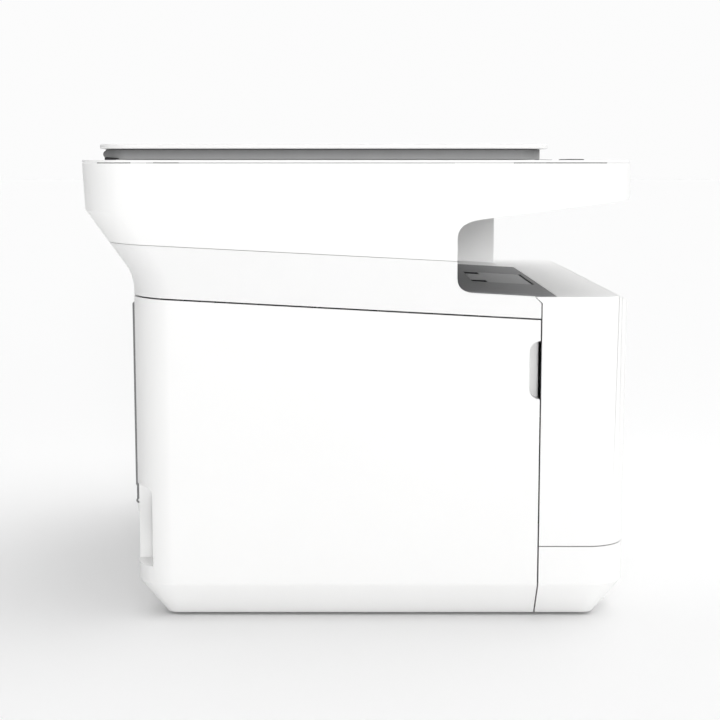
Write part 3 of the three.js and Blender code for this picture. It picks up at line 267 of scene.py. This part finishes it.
def ground_rubber(name, color):
    """Roller rubber, ground round its axis."""
    look = rubber(name, color, 0.72)
    look.bump(look.noise((0.25 * MM, 8 * MM, 8 * MM), 4), 0.03 * MM, 0.7)
    return look


def toothed(look, pitch):
    """Belt teeth across the belt's length, which runs along X."""
    look.bump(look.stripes(pitch, "X"), 0.5 * MM, 0.9)
    return look


def brushed_metal(name, color, roughness, along):
    """Metal with fine streaks along one axis."""
    look = Look(name, color, roughness, Metallic=1.0)
    sizes = tuple(30 * MM if axis == along else 0.18 * MM for axis in "XYZ")
    streaks = look.noise(sizes, 4, 0.6)
    look.tint(look.noise(25 * MM, 3), shade(color, 0.92), shade(color, 1.05))
    look.vary_roughness(streaks, roughness - 0.08, roughness + 0.14)
    look.bump(streaks, 0.008 * MM, 0.6)
    return look


def zinc_plate(name, color):
    """Zinc-plated steel sheet with its spangle and rolling marks."""
    look = Look(name, color, 0.42, Metallic=1.0)
    spangle = look.cell_colors(7 * MM)
    value = look.node("SeparateColor", {"Color": spangle}).outputs[0]
    look.tint(value, shade(color, 0.86), shade(color, 1.06))
    look.vary_roughness(value, 0.32, 0.52)
    look.bump(look.noise((0.3 * MM, 20 * MM, 0.3 * MM), 3), 0.006 * MM, 0.5)
    return look


def clear_glass(name):
    """Clear glass with faint wiping marks."""
    look = Look(name, (0.93, 0.97, 0.96), 0.03, Transmission_Weight=1.0, IOR=1.5)
    look.vary_roughness(look.noise(18 * MM, 5, 0.7), 0.0, 0.07, 0.45, 0.8)
    return look


def encoder_film(name):
    """Clear film with fine dark lines across it."""
    look = Look(name, (0.5, 0.5, 0.48), 0.2, Transmission_Weight=0.4, IOR=1.5)
    look.tint(look.stripes(0.5 * MM, "X"), (0.12, 0.12, 0.12), (0.75, 0.76, 0.72))
    return look


def circuit_board(name, color):
    """Green solder mask over copper tracks."""
    look = Look(name, color, 0.38)
    tracks = look.noise((9 * MM, 9 * MM, 1.2 * MM), 0)
    crossings = look.noise((1.2 * MM, 9 * MM, 9 * MM), 0)
    either = look.node("Math", {0: tracks, 1: crossings}, operation="MAXIMUM").outputs[0]
    mask = look.spread(either, 0, 1, 0.56, 0.6)
    look.tint(mask, color, shade(color, 1.9))
    look.bump(mask, 0.05 * MM, 0.5)
    return look


def pad_film(name, color):
    """Smooth white film stretched over foam: soft shallow dimples and a faint leather grain."""
    glow = {"Subsurface_Weight": 0.08, "Subsurface_Radius": (0.002, 0.002, 0.002)}
    look = Look(name, color, 0.55, Sheen_Weight=0.15, **glow)
    look.tint(look.noise(30 * MM, 4), shade(color, 0.965), shade(color, 1.0))
    look.vary_roughness(look.noise(5 * MM, 3), 0.48, 0.66)
    look.bump(look.noise(16 * MM, 2), 0.35 * MM, 0.35)
    look.bump(look.cells(0.9 * MM), 0.03 * MM, 0.5)
    return look


def glossy(name, color, roughness=0.09):
    """Polished plastic or a display window, with faint wiping marks."""
    look = Look(name, color, roughness, Coat_Weight=0.6, Coat_Roughness=0.04)
    wipes = look.noise((40 * MM, 3 * MM, 3 * MM), 4, 0.7)
    look.vary_roughness(wipes, roughness - 0.03, roughness + 0.12, 0.4, 0.9)
    look.tint(look.noise(20 * MM, 2), shade(color, 0.8), shade(color, 1.2))
    return look


WHITE = (0.885, 0.885, 0.88)
DARK_GREY = (0.215, 0.216, 0.221)
MID_GREY = (0.34, 0.341, 0.346)
LID_GREY = (0.36, 0.362, 0.366)
LID_WALL = (335 * MM, 342 * MM)  # the heights between which painted shade darkens the lid's wall
TRAY_GRAIN = {"grain": 0.7 * MM, "depth": 0.03 * MM}
BELT_PITCH = 2.03 * MM

# one look for each material slot of the record
LOOKS = {
    "white_plastic": moulded("white_plastic", WHITE, 0.42, mottle=0.008),
    "black_plastic": moulded("black_plastic", (0.022, 0.022, 0.024), 0.5, mottle=0.15),
    "dark_grey_plastic": rubbed(moulded("dark_grey_plastic", DARK_GREY, 0.62, **TRAY_GRAIN)),
    "mid_grey_plastic": rubbed(moulded("mid_grey_plastic", MID_GREY, 0.58, **TRAY_GRAIN)),
    # the lid's grey carries painted shade that deepens towards the top of its wall
    "lid_grey_plastic": painted_shade_upwards(moulded("lid_grey_plastic", LID_GREY, 0.5), *LID_WALL),
    "key_plastic": moulded("key_plastic", (0.035, 0.035, 0.038), 0.32, 0.4 * MM, 0.01 * MM, 0.1),
    "black_gloss": glossy("black_gloss", (0.012, 0.012, 0.014)),
    "rubber": rubber("rubber", (0.03, 0.03, 0.031)),
    "roller_rubber": ground_rubber("roller_rubber", (0.045, 0.046, 0.05)),
    "belt_rubber": toothed(rubber("belt_rubber", (0.02, 0.02, 0.021), 0.7), BELT_PITCH),
    "steel": brushed_metal("steel", (0.66, 0.66, 0.67), 0.22, "X"),
    "motor_steel": brushed_metal("motor_steel", (0.52, 0.53, 0.55), 0.34, "Y"),
    "zinc_plate": zinc_plate("zinc_plate", (0.56, 0.57, 0.58)),
    "supply_case": zinc_plate("supply_case", (0.66, 0.67, 0.68)),
    "glass": clear_glass("glass"),
    "film": encoder_film("film"),
    "gear_plastic": moulded("gear_plastic", (0.74, 0.72, 0.66), 0.4, mottle=0.03, Subsurface_Weight=0.1),
    "circuit_board": circuit_board("circuit_board", (0.02, 0.13, 0.07)),
    "pad_foam": pad_film("pad_foam", (0.88, 0.88, 0.87)),
    "cartridge_black": moulded("cartridge_black", (0.02, 0.02, 0.02), 0.4, mottle=0.1),
    "cartridge_cyan": moulded("cartridge_cyan", (0.01, 0.22, 0.42), 0.4, mottle=0.05),
    "cartridge_magenta": moulded("cartridge_magenta", (0.42, 0.02, 0.16), 0.4, mottle=0.05),
    "cartridge_yellow": moulded("cartridge_yellow", (0.72, 0.5, 0.02), 0.4, mottle=0.05),
}
# looks that are not a slot's own: a darker copy of the white that paints shade on the band, and those of
# details
EXTRA_LOOKS = {
    "band_white_painted_shade": moulded("band_white_painted_shade", (0.83, 0.83, 0.828), 0.42, mottle=0.008),
    "steel_shell": brushed_metal("steel_shell", (0.62, 0.62, 0.63), 0.3, "Y"),
    "gold": brushed_metal("gold", (0.83, 0.6, 0.24), 0.25, "Z"),
    "print_grey": moulded("print_grey", (0.32, 0.32, 0.33), 0.6, mottle=0.05),
    "key_mark": moulded("key_mark", (0.78, 0.78, 0.78), 0.5, mottle=0.03),
    "screen": glossy("screen", (0.02, 0.024, 0.03), 0.06),
    # near-black: painted shade under the lid's plate and in the screw recesses, and the display's dark trim
    "dark_trim_and_painted_shade": moulded("dark_trim_and_painted_shade", (0.05, 0.05, 0.052), 0.6, mottle=0.1),
    # near-black painted shade for the paper stop's finger slots
    "painted_well_shade": moulded("painted_well_shade", (0.008, 0.008, 0.009), 0.75, mottle=0.1),
    "indicator_lens": moulded("indicator_lens", (0.8, 0.82, 0.8), 0.25, mottle=0.03),
}


def look(name):
    return (LOOKS.get(name) or EXTRA_LOOKS[name]).material


# ---------------------------------------------------------------- solids with rounded edges

WIDE = 9 * MM  # a face wider than this is a panel, and a narrower one is a step of a curve
CURVE_STEP = math.radians(31)  # the steepest step between the faces of a curve
CREASE = math.radians(7)  # the flattest angle between two panels that still counts as an edge
FLAT = math.radians(0.6)  # faces that turn less than this are one face
SAME_PLACE = 2e-6


def solid_of(node):
    """The CAD node's solid with its triangles joined back into flat faces."""
    bm = bmesh.new()
    bm.from_mesh(frame["nodes"][node].data)
    bmesh.ops.remove_doubles(bm, verts=bm.verts, dist=SAME_PLACE)
    bmesh.ops.dissolve_limit(bm, angle_limit=FLAT, verts=bm.verts, edges=bm.edges)
    bmesh.ops.dissolve_degenerate(bm, dist=SAME_PLACE, edges=bm.edges)
    return bm


def face_width(face):
    longest = max(edge.calc_length() for edge in face.edges)
    return face.calc_area() / longest if longest > 0 else 0


def is_corner(edge):
    """An edge of the shape itself, not a step between two faces of a curve."""
    if len(edge.link_faces) != 2:
        return False
    angle = edge.calc_face_angle(0)
    if angle > CURVE_STEP:
        return True
    return angle > CREASE and all(face_width(face) > WIDE for face in edge.link_faces)


def round_edges(bm, radius, segments=2, wanted=None):
    """Rounds the shape's own outward edges. wanted picks among them by their middle point."""
    chosen = []
    for edge in bm.edges:
        if not is_corner(edge) or not edge.is_convex or edge.calc_length() < 3 * radius:
            continue
        middle = (edge.verts[0].co + edge.verts[1].co) / 2
        if wanted is None or wanted(middle, edge):
            chosen.append(edge)
    if chosen:
        bmesh.ops.bevel(
            bm, geom=chosen, offset=radius, offset_type="OFFSET", segments=segments,
            profile=0.5, affect="EDGES", clamp_overlap=False, loop_slide=True,
        )


def add_object(bm, name, materials, smooth=50):
    """Makes the mesh an object with smooth curves, flat panels and the named looks.
    An edge that turns more than smooth degrees stays sharp."""
    for face in bm.faces:
        face.smooth = True
    for edge in bm.edges:
        edge.smooth = not (len(edge.link_faces) == 2 and edge.calc_face_angle(0) > math.radians(smooth))
    mesh = bpy.data.meshes.new(name)
    bm.to_mesh(mesh)
    bm.free()
    for material in materials:
        mesh.materials.append(look(material))
    piece = bpy.data.objects.new(name, mesh)
    bpy.context.scene.collection.objects.link(piece)
    normals = piece.modifiers.new("flat panels", "WEIGHTED_NORMAL")
    normals.keep_sharp = True
    normals.mode = "FACE_AREA"
    return piece


def dressed(node, radius, extra=(), paint=None, own=None, segments=2, big=None, big_radius=0):
    """A piece in place of a CAD node: the same solid with rounded edges and, where paint is given,
    more looks. paint gives a face's look, 0 for the node's own and 1 for the first of extra.
    own names another look in place of the slot's. big picks edges to round first, by big_radius."""
    bm = solid_of(node)
    if big is not None:
        round_edges(bm, big_radius, 4, big)
    if radius > 0:
        round_edges(bm, radius, segments)
    if paint is not None:
        for face in bm.faces:
            face.material_index = paint(face)
    piece = add_object(bm, node + "_piece", [own or SLOT_OF[node], *extra])
    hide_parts(node)
    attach(piece, BODY_OF[node])


def detail(bm, name, rides_with, materials, slot):
    """A piece of the looks only, such as a symbol, riding with a node's body."""
    bmesh.ops.recalc_face_normals(bm, faces=bm.faces)
    piece = add_object(bm, name, materials)
    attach(piece, BODY_OF[rides_with])


# ---------------------------------------------------------------- small closed shapes, in millimetres

def in_place(u, v, height, axis):
    """A point of a shape drawn square to an axis."""
    point = {"X": (height, u, v), "Y": (u, height, v), "Z": (u, v, height)}[axis]
    return Vector(point) * MM


def stack(bm, rings, axis="Z", loop=False, material=0):
    """A closed skin through rings, each a list of (u, v) points and a height.
    The first and last ring are capped, or joined to each other when loop is set."""
    rows = [[bm.verts.new(in_place(u, v, height, axis)) for u, v in points] for points, height in rings]
    made = []
    pairs = list(zip(rows, rows[1:]))
    if loop:
        pairs.append((rows[-1], rows[0]))
    else:
        made += [bm.faces.new(rows[0]), bm.faces.new(rows[-1])]
    for low, high in pairs:
        for i in range(len(low)):
            j = (i + 1) % len(low)
            made.append(bm.faces.new((low[i], low[j], high[j], high[i])))
    for face in made:
        face.material_index = material


def circle(u, v, radius):
    steps = 24
    turns = [2 * math.pi * i / steps for i in range(steps)]
    return [(u + radius * math.cos(turn), v + radius * math.sin(turn)) for turn in turns]


def rounded(u0, u1, v0, v1, radius, steps=4):
    """A rectangle's outline with rounded corners."""
    left, right, low, high = u0 + radius, u1 - radius, v0 + radius, v1 - radius
    points = []
    for u, v, start in ((right, high, 0), (left, high, 90), (left, low, 180), (right, low, 270)):
        for i in range(steps + 1):
            turn = math.radians(start + 90 * i / steps)
            points.append((u + radius * math.cos(turn), v + radius * math.sin(turn)))
    return points


SMALLEST_CORNER = 0.05


def slab(bm, box, radius, base, top, soft, axis="Z", material=0):
    """A rounded rectangle with softened top edges. box is (u0, u1, v0, v1)."""
    u0, u1, v0, v1 = box
    step = soft if top > base else -soft
    rings = []
    for inset, height in ((0, base), (0, top - step), (0.3 * soft, top - 0.3 * step), (soft, top)):
        corner = max(radius - inset, SMALLEST_CORNER)
        rings.append((rounded(u0 + inset, u1 - inset, v0 + inset, v1 - inset, corner), height))
    stack(bm, rings, axis, material=material)


def ring_frame(bm, box, radius, thick, base, top, axis="Z", material=0):
    """A rectangular frame or tube. box is its outside."""
    u0, u1, v0, v1 = box
    outer = rounded(u0, u1, v0, v1, radius)
    inner = rounded(u0 + thick, u1 - thick, v0 + thick, v1 - thick, max(radius - thick, 0.1))
    stack(bm, [(outer, base), (outer, top), (inner, top), (inner, base)], axis, True, material)


def turned(bm, u, v, profile, axis="Z"):
    """A turned shape. profile is a list of (radius, height)."""
    stack(bm, [(circle(u, v, radius), height) for radius, height in profile], axis)


def plate(bm, points, base, top, axis="Z", material=0):
    """A flat shape with square edges."""
    stack(bm, [(points, base), (points, top)], axis, material=material)


def cross(u, v, reach, half, turn):
    """The outline of a cross with equal arms, turned by some degrees."""
    quarter = [(reach, -half), (reach, half), (half, half)]
    points = []
    for k in range(4):
        angle = math.radians(turn + 90 * k)
        for x, y in quarter:
            points.append((
                u + x * math.cos(angle) - y * math.sin(angle),
                v + x * math.sin(angle) + y * math.cos(angle),
            ))
    return points


def arc_band(u, v, radius, half, start, end):
    """The outline of part of a ring, from one bearing to another in degrees."""
    steps = 20
    turns = [math.radians(start + (end - start) * i / steps) for i in range(steps + 1)]
    outer = [(u + (radius + half) * math.cos(turn), v + (radius + half) * math.sin(turn)) for turn in turns]
    inner = [(u + (radius - half) * math.cos(turn), v + (radius - half) * math.sin(turn)) for turn in turns]
    return outer + inner[::-1]


def box_of(node):
    """The low and high corner of a CAD node, in millimetres."""
    return [Vector(corner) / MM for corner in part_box(node)]


def middle_of(face):
    return face.calc_center_median() / MM


def farthest(face, y, z):
    """How far a face reaches from a line along X through y and z, in millimetres."""
    return max(math.hypot(vert.co.y / MM - y, vert.co.z / MM - z) for vert in face.verts)


# ---------------------------------------------------------------- case

CHAMFER_TOP = 28.4
CHAMFERED = ("left_side_cover", "right_side_cover", "rear_panel", "paper_tray")


def chamfer_crease(middle, edge):
    """The long level crease at the top of the base's chamfer."""
    level = abs(edge.verts[0].co.z - edge.verts[1].co.z) < 0.2 * MM
    return level and abs(middle.z / MM - CHAMFER_TOP) < 1


def shade_under_the_plate(face):
    """The hidden shoulder and underside of the lid's frame face up or down, and are painted dark: painted
    shade under the plate.
    """
    return 1 if abs(face.normal.z) > 0.7 else 0


for name in CHAMFERED:
    dressed(name, 0.22 * MM, big=chamfer_crease, big_radius=1.6 * MM)
dressed("front_door", 0.22 * MM)
# the band wears the darker white: painted shade
dressed("upper_frame", 0.12 * MM, own="band_white_painted_shade")
dressed("scanner_housing", 0.15 * MM)
dressed("scanner_bezel", 0.35 * MM)
dressed("lid_plate", 0.3 * MM)
# the lid's frame, with painted shade on its faces under the plate
dressed("lid_frame", 0.3 * MM, ["dark_trim_and_painted_shade"], shade_under_the_plate)
dressed("output_tray", 0.25 * MM)
dressed("paper_stop", 0.25 * MM)
dressed("rear_door", 0.4 * MM)
dressed("base_pan", 0.3 * MM)
dressed("port_panel", 0.2 * MM)
dressed("control_panel", 0.12 * MM)
for name in ("power_key", "copy_key", "cancel_key"):
    dressed(name, 0.45 * MM, segments=3)
for name in ("width_guide_left", "width_guide_right", "length_guide", "lid_hinge_left", "lid_hinge_right"):
    dressed(name, 0.3 * MM)
for name in SLOT_OF:
    if name.startswith("foot"):
        dressed(name, 0.6 * MM, segments=3)


def make_finger_well_shade():
    """Near-black cups under the paper stop's two cut corners, following the output tray's slope: painted
    shade in the finger slots.
    """
    slope, slope_from = 0.055, -142.5
    surface = 238.5  # the height of the output tray where its slope starts
    top, floor, bottom = surface - 0.4, surface - 4.0, surface - 4.5
    y0, y1 = -102.3, -90.3
    wall, inset = 0.5, 0.55
    bm = bmesh.new()
    for x0, x1 in ((-97.7, -75.8), (-12.2, 9.7)):
        ring_frame(bm, (x0, x1, y0, y1), 0.6, wall, bottom, top)
        slab(bm, (x0 + inset, x1 - inset, y0 + inset, y1 - inset), 0.3, bottom, floor, 0.1)
    for vert in bm.verts:
        vert.co.z += slope * (vert.co.y - slope_from * MM)
    detail(bm, "finger_well_shade", "output_tray", ["painted_well_shade"], "black_plastic")


make_finger_well_shade()


# ---------------------------------------------------------------- lid and scanner

def make_document_pad():
    """Film-covered foam: flat where it is glued to the lid, crowned where it presses on the glass."""
    low, high = box_of("document_pad")
    side_gap, gap, corner = 0.3, 0.05, 7
    lowest, highest = low.z + gap, high.z - gap
    # how far each level lies inside the outline: the glued side, the bulging edge, then the crown
    sections = [
        (0.8, highest), (0.1, highest - 0.7), (0, highest - 1.8), (0.3, highest - 3.0),
        (1.0, highest - 3.9), (2.4, lowest + 0.45), (6, lowest + 0.3), (14, lowest + 0.18),
        (34, lowest + 0.06), (70, lowest),
    ]
    rings = []
    for inset, height in sections:
        edge = side_gap + inset
        turn = max(corner - inset, 1.5)
        points = rounded(low.x + edge, high.x - edge, low.y + edge, high.y - edge, turn, 6)
        rings.append((points, height))
    bm = bmesh.new()
    stack(bm, rings)
    bmesh.ops.recalc_face_normals(bm, faces=bm.faces)
    pad = add_object(bm, "document_pad_piece", [SLOT_OF["document_pad"]], 60)
    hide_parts("document_pad")
    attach(pad, BODY_OF["document_pad"])


def make_hinge_gap_shade():
    """Dark wedges in the rubber look, let into the foot of the lid's side walls next to the hinges: painted
    shade of the gap there.
    """
    bm = bmesh.new()
    wedge = [(178, 335.25), (168, 335.25), (169.5, 336.2), (178, 336.9)]
    thickness = 2
    for x in (-190.65, 188.65):
        plate(bm, wedge, x, x + thickness, "X")
    detail(bm, "hinge_gap_shade", "lid_frame", ["rubber"], "rubber")


BEZEL_TOP = box_of("scanner_bezel")[1].z
WINDOW = (-154, 146, -68, 150)  # the opening of the scanner's frame
ACROSS_SIZES = (105, 148, 210, 279.4, 297)  # edges of common sheets
DOWN_SIZES = (148, 210)


def make_size_marks():
    """Printed marks for paper sizes along two edges of the glass, and the arrow at its corner."""
    x0, x1, y0, y1 = WINDOW
    low, high = BEZEL_TOP - 0.2, BEZEL_TOP + 0.06
    half, near, far = 0.4, 1.5, 6
    bm = bmesh.new()
    for length in ACROSS_SIZES:
        x = x0 + length
        plate(bm, rounded(x - half, x + half, y1 + near, y1 + far, 0.2, 2), low, high)
    for length in DOWN_SIZES:
        y = y1 - length
        plate(bm, rounded(x0 - far, x0 - near, y - half, y + half, 0.2, 2), low, high)
    plate(bm, [(x0 - 1, y1 + 1), (x0 - 6.5, y1 + 2.6), (x0 - 2.6, y1 + 6.5)], low, high)
    detail(bm, "paper_size_marks", "scanner_bezel", ["print_grey"], "white_plastic")


make_document_pad()
make_hinge_gap_shade()
make_size_marks()


# ---------------------------------------------------------------- control panel

KEY_Y = -166.5
WELL = (-30, 60, -184, -149)  # the recess of the display
WELL_FLOOR = 334.2


def key_middle(name):
    low, high = box_of(name)
    return (low.x + high.x) / 2


def make_display():
    """A dark window in the panel's recess, with the thin frame of its lit field."""
    x0, x1, y0, y1 = WELL
    bm = bmesh.new()
    slab(bm, (x0 + 0.4, x1 - 0.4, y0 + 0.4, y1 - 0.4), 1.2, WELL_FLOOR - 0.3, WELL_FLOOR + 0.4, 0.15)
    ring_frame(bm, (x0 + 5, x1 - 5, y0 + 4, y1 - 4), 1, 0.35, WELL_FLOOR, WELL_FLOOR + 0.43, material=1)
    detail(bm, "display_window", "control_panel", ["screen", "dark_trim_and_painted_shade"], "black_gloss")


def make_key_symbols():
    """A broken ring with a bar, two overlapping sheets, and a cross."""
    key_top = box_of("power_key")[1].z
    low, high = key_top - 0.3, key_top + 0.07
    half = 0.33
    x = key_middle("power_key")
    bm = bmesh.new()
    plate(bm, arc_band(x, KEY_Y, 3, half, 125, 415), low, high)
    plate(bm, rounded(x - half, x + half, KEY_Y + 0.6, KEY_Y + 4, 0.3, 3), low, high)
    detail(bm, "power_symbol", "power_key", ["key_mark"], "key_plastic")
    x = key_middle("copy_key")
    bm = bmesh.new()
    ring_frame(bm, (x - 3, x + 1.2, KEY_Y - 1.6, KEY_Y + 3.6), 0.5, 0.5, low, high)
    slab(bm, (x - 1.2, x + 3, KEY_Y - 3.6, KEY_Y + 1.6), 0.5, low, high + 0.05, 0.05)
    detail(bm, "copy_symbol", "copy_key", ["key_mark"], "key_plastic")
    bm = bmesh.new()
    plate(bm, cross(key_middle("cancel_key"), KEY_Y, 3.6, 0.42, 45), low, high)
    detail(bm, "cancel_symbol", "cancel_key", ["key_mark"], "key_plastic")


def make_indicators():
    """Two small domed lamps in the panel, next to the keys."""
    top = BEZEL_TOP
    dome = [(1.5, 333), (1.5, top + 0.1), (1.2, top + 0.25), (0.5, top + 0.36)]
    bm = bmesh.new()
    for x in (-91, 74):
        turned(bm, x, KEY_Y, dome)
    detail(bm, "indicator_lights", "control_panel", ["indicator_lens"], "glass")


make_display()
make_key_symbols()
make_indicators()


# ---------------------------------------------------------------- back

REAR = 161.5
PORT_FLOOR = 151.5  # the bottom of the recess the sockets stand in
SOCKETS = ((122, 192, 8, 7.5), (122, 168, 8.5, 7), (146, 180, 6, 3))  # x, z, half width and half height
WIDE_SOCKET = 7  # a socket with a greater half width has four contacts, and others have three
INLET_PINS = ((-186, 67.5), (-186, 76.5))  # x and z
INLET_PIN_REACH = 1.35  # just over the pins' radius
INLET_PIN_START = 132.6  # just clear of the floor that the pins stand on


def pin_metal(face):
    """The inlet's two pins are steel; the rest of it is plastic."""
    center = middle_of(face)
    from_a_pin = min(math.hypot(center.x - x, center.z - z) for x, z in INLET_PINS)
    return 1 if from_a_pin < INLET_PIN_REACH and center.y > INLET_PIN_START else 0


def make_socket_shells():
    """Drawn-steel shells in the three sockets and gilt contacts on their tongues."""
    gap, thickness, contact_pitch = 0.2, 0.55, 2.1
    bm = bmesh.new()
    for x, z, half_width, half_height in SOCKETS:
        w, h = half_width - gap, half_height - gap
        shell = (x - w, x + w, z - h, z + h)
        ring_frame(bm, shell, 1, thickness, PORT_FLOOR - 10.5, PORT_FLOOR + 2.4, "Y")
        count = 4 if half_width > WIDE_SOCKET else 3
        for i in range(count):
            place = x + (i - (count - 1) / 2) * contact_pitch
            strip = (place - 0.5, place + 0.5, PORT_FLOOR - 9.5, PORT_FLOOR - 2.6)
            slab(bm, strip, 0.3, z + 1.0, z + 1.36, 0.1, material=1)
    detail(bm, "socket_shells", "port_panel", ["steel_shell", "gold"], "steel")


def make_screws():
    """Pan-head screws that hold the rear panel, each with a dark cross of painted shade where its cross
    recess lies.
    """
    head = [(3.3, REAR - 0.4), (3.3, REAR + 0.15), (3.0, REAR + 0.4), (2.1, REAR + 0.55)]
    bm = bmesh.new()
    for x in (-166, 91, 166):
        for z in (60, 222):
            turned(bm, x, z, head, "Y")
            # a dark cross of painted shade in place of the recess
            recess = cross(x, z, 1.7, 0.38, random.uniform(0, 90))
            plate(bm, recess, REAR + 0.2, REAR + 0.58, "Y", material=1)
    detail(bm, "rear_panel_screws", "rear_panel", ["steel_shell", "dark_trim_and_painted_shade"], "steel")


random.seed(SEED)
dressed("power_inlet", 0.3 * MM, ["steel_shell"], pin_metal)
make_socket_shells()
make_screws()


# ---------------------------------------------------------------- works

SHAFT_REACH = 3.2  # just over the rollers' shaft radius
GEAR_END = -189.6  # the gears lie to the left of this
GEARED = ("feed_roller", "transport_roller")


def roller_paint(name):
    """Steel shaft, rubber tyres and, on the rollers with one, a plastic gear at the left end."""
    low, high = box_of(name)
    axis = (low + high) / 2

    def paint(face):
        if farthest(face, axis.y, axis.z) < SHAFT_REACH:
            return 1
        return 2 if name in GEARED and middle_of(face).x < GEAR_END else 0

    return paint


for name in ("feed_roller", "transport_roller", "turn_roller", "exit_roller", "pickup_roller"):
    dressed(name, 0, ["steel", "gear_plastic"], roller_paint(name))

CLEAR_OF_BOARD = 127.9  # just forward of the board's front face
CONNECTOR_CORNER = (160, 175)  # the connector lies to the right of this x and below this z


def board_paint(face):
    """Black chips and a metal connector stand forward of the board."""
    center = middle_of(face)
    if center.y > CLEAR_OF_BOARD:
        return 0
    x, z = CONNECTOR_CORNER
    return 2 if center.x > x and center.z < z else 1


dressed("main_board", 0, ["black_plastic", "zinc_plate"], board_paint)


def make_cartridges():
    """Each cartridge with a plain white label and a colour chip on its front."""
    front, thin = -42, 0.04
    for name in [node for node in SLOT_OF if node.startswith("ink_cartridge")]:
        low, high = box_of(name)
        x = (low.x + high.x) / 2
        bm = bmesh.new()
        slab(bm, (x - 6, x + 6, 128, 166), 1, front + 0.1, front - 0.12, thin, "Y")
        slab(bm, (x - 4, x + 4, 152, 162), 1, front, front - 0.2, thin, "Y", material=1)
        dressed(name, 0.35 * MM)
        detail(bm, name + "_label", name, ["key_mark", SLOT_OF[name]], "white_plastic")


make_cartridges()
for name in (
    "print_carriage", "scan_head", "platen", "maintenance_station",
    "chassis_plate_left", "chassis_plate_right",
):
    dressed(name, 0.2 * MM)

# the CAD nodes that no piece replaces show as they are, each in the look of its slot
for name, material in SLOT_OF.items():
    if not frame["nodes"][name].hide_render:
        mesh = frame["nodes"][name].data
        mesh.materials.clear()
        mesh.materials.append(look(material))
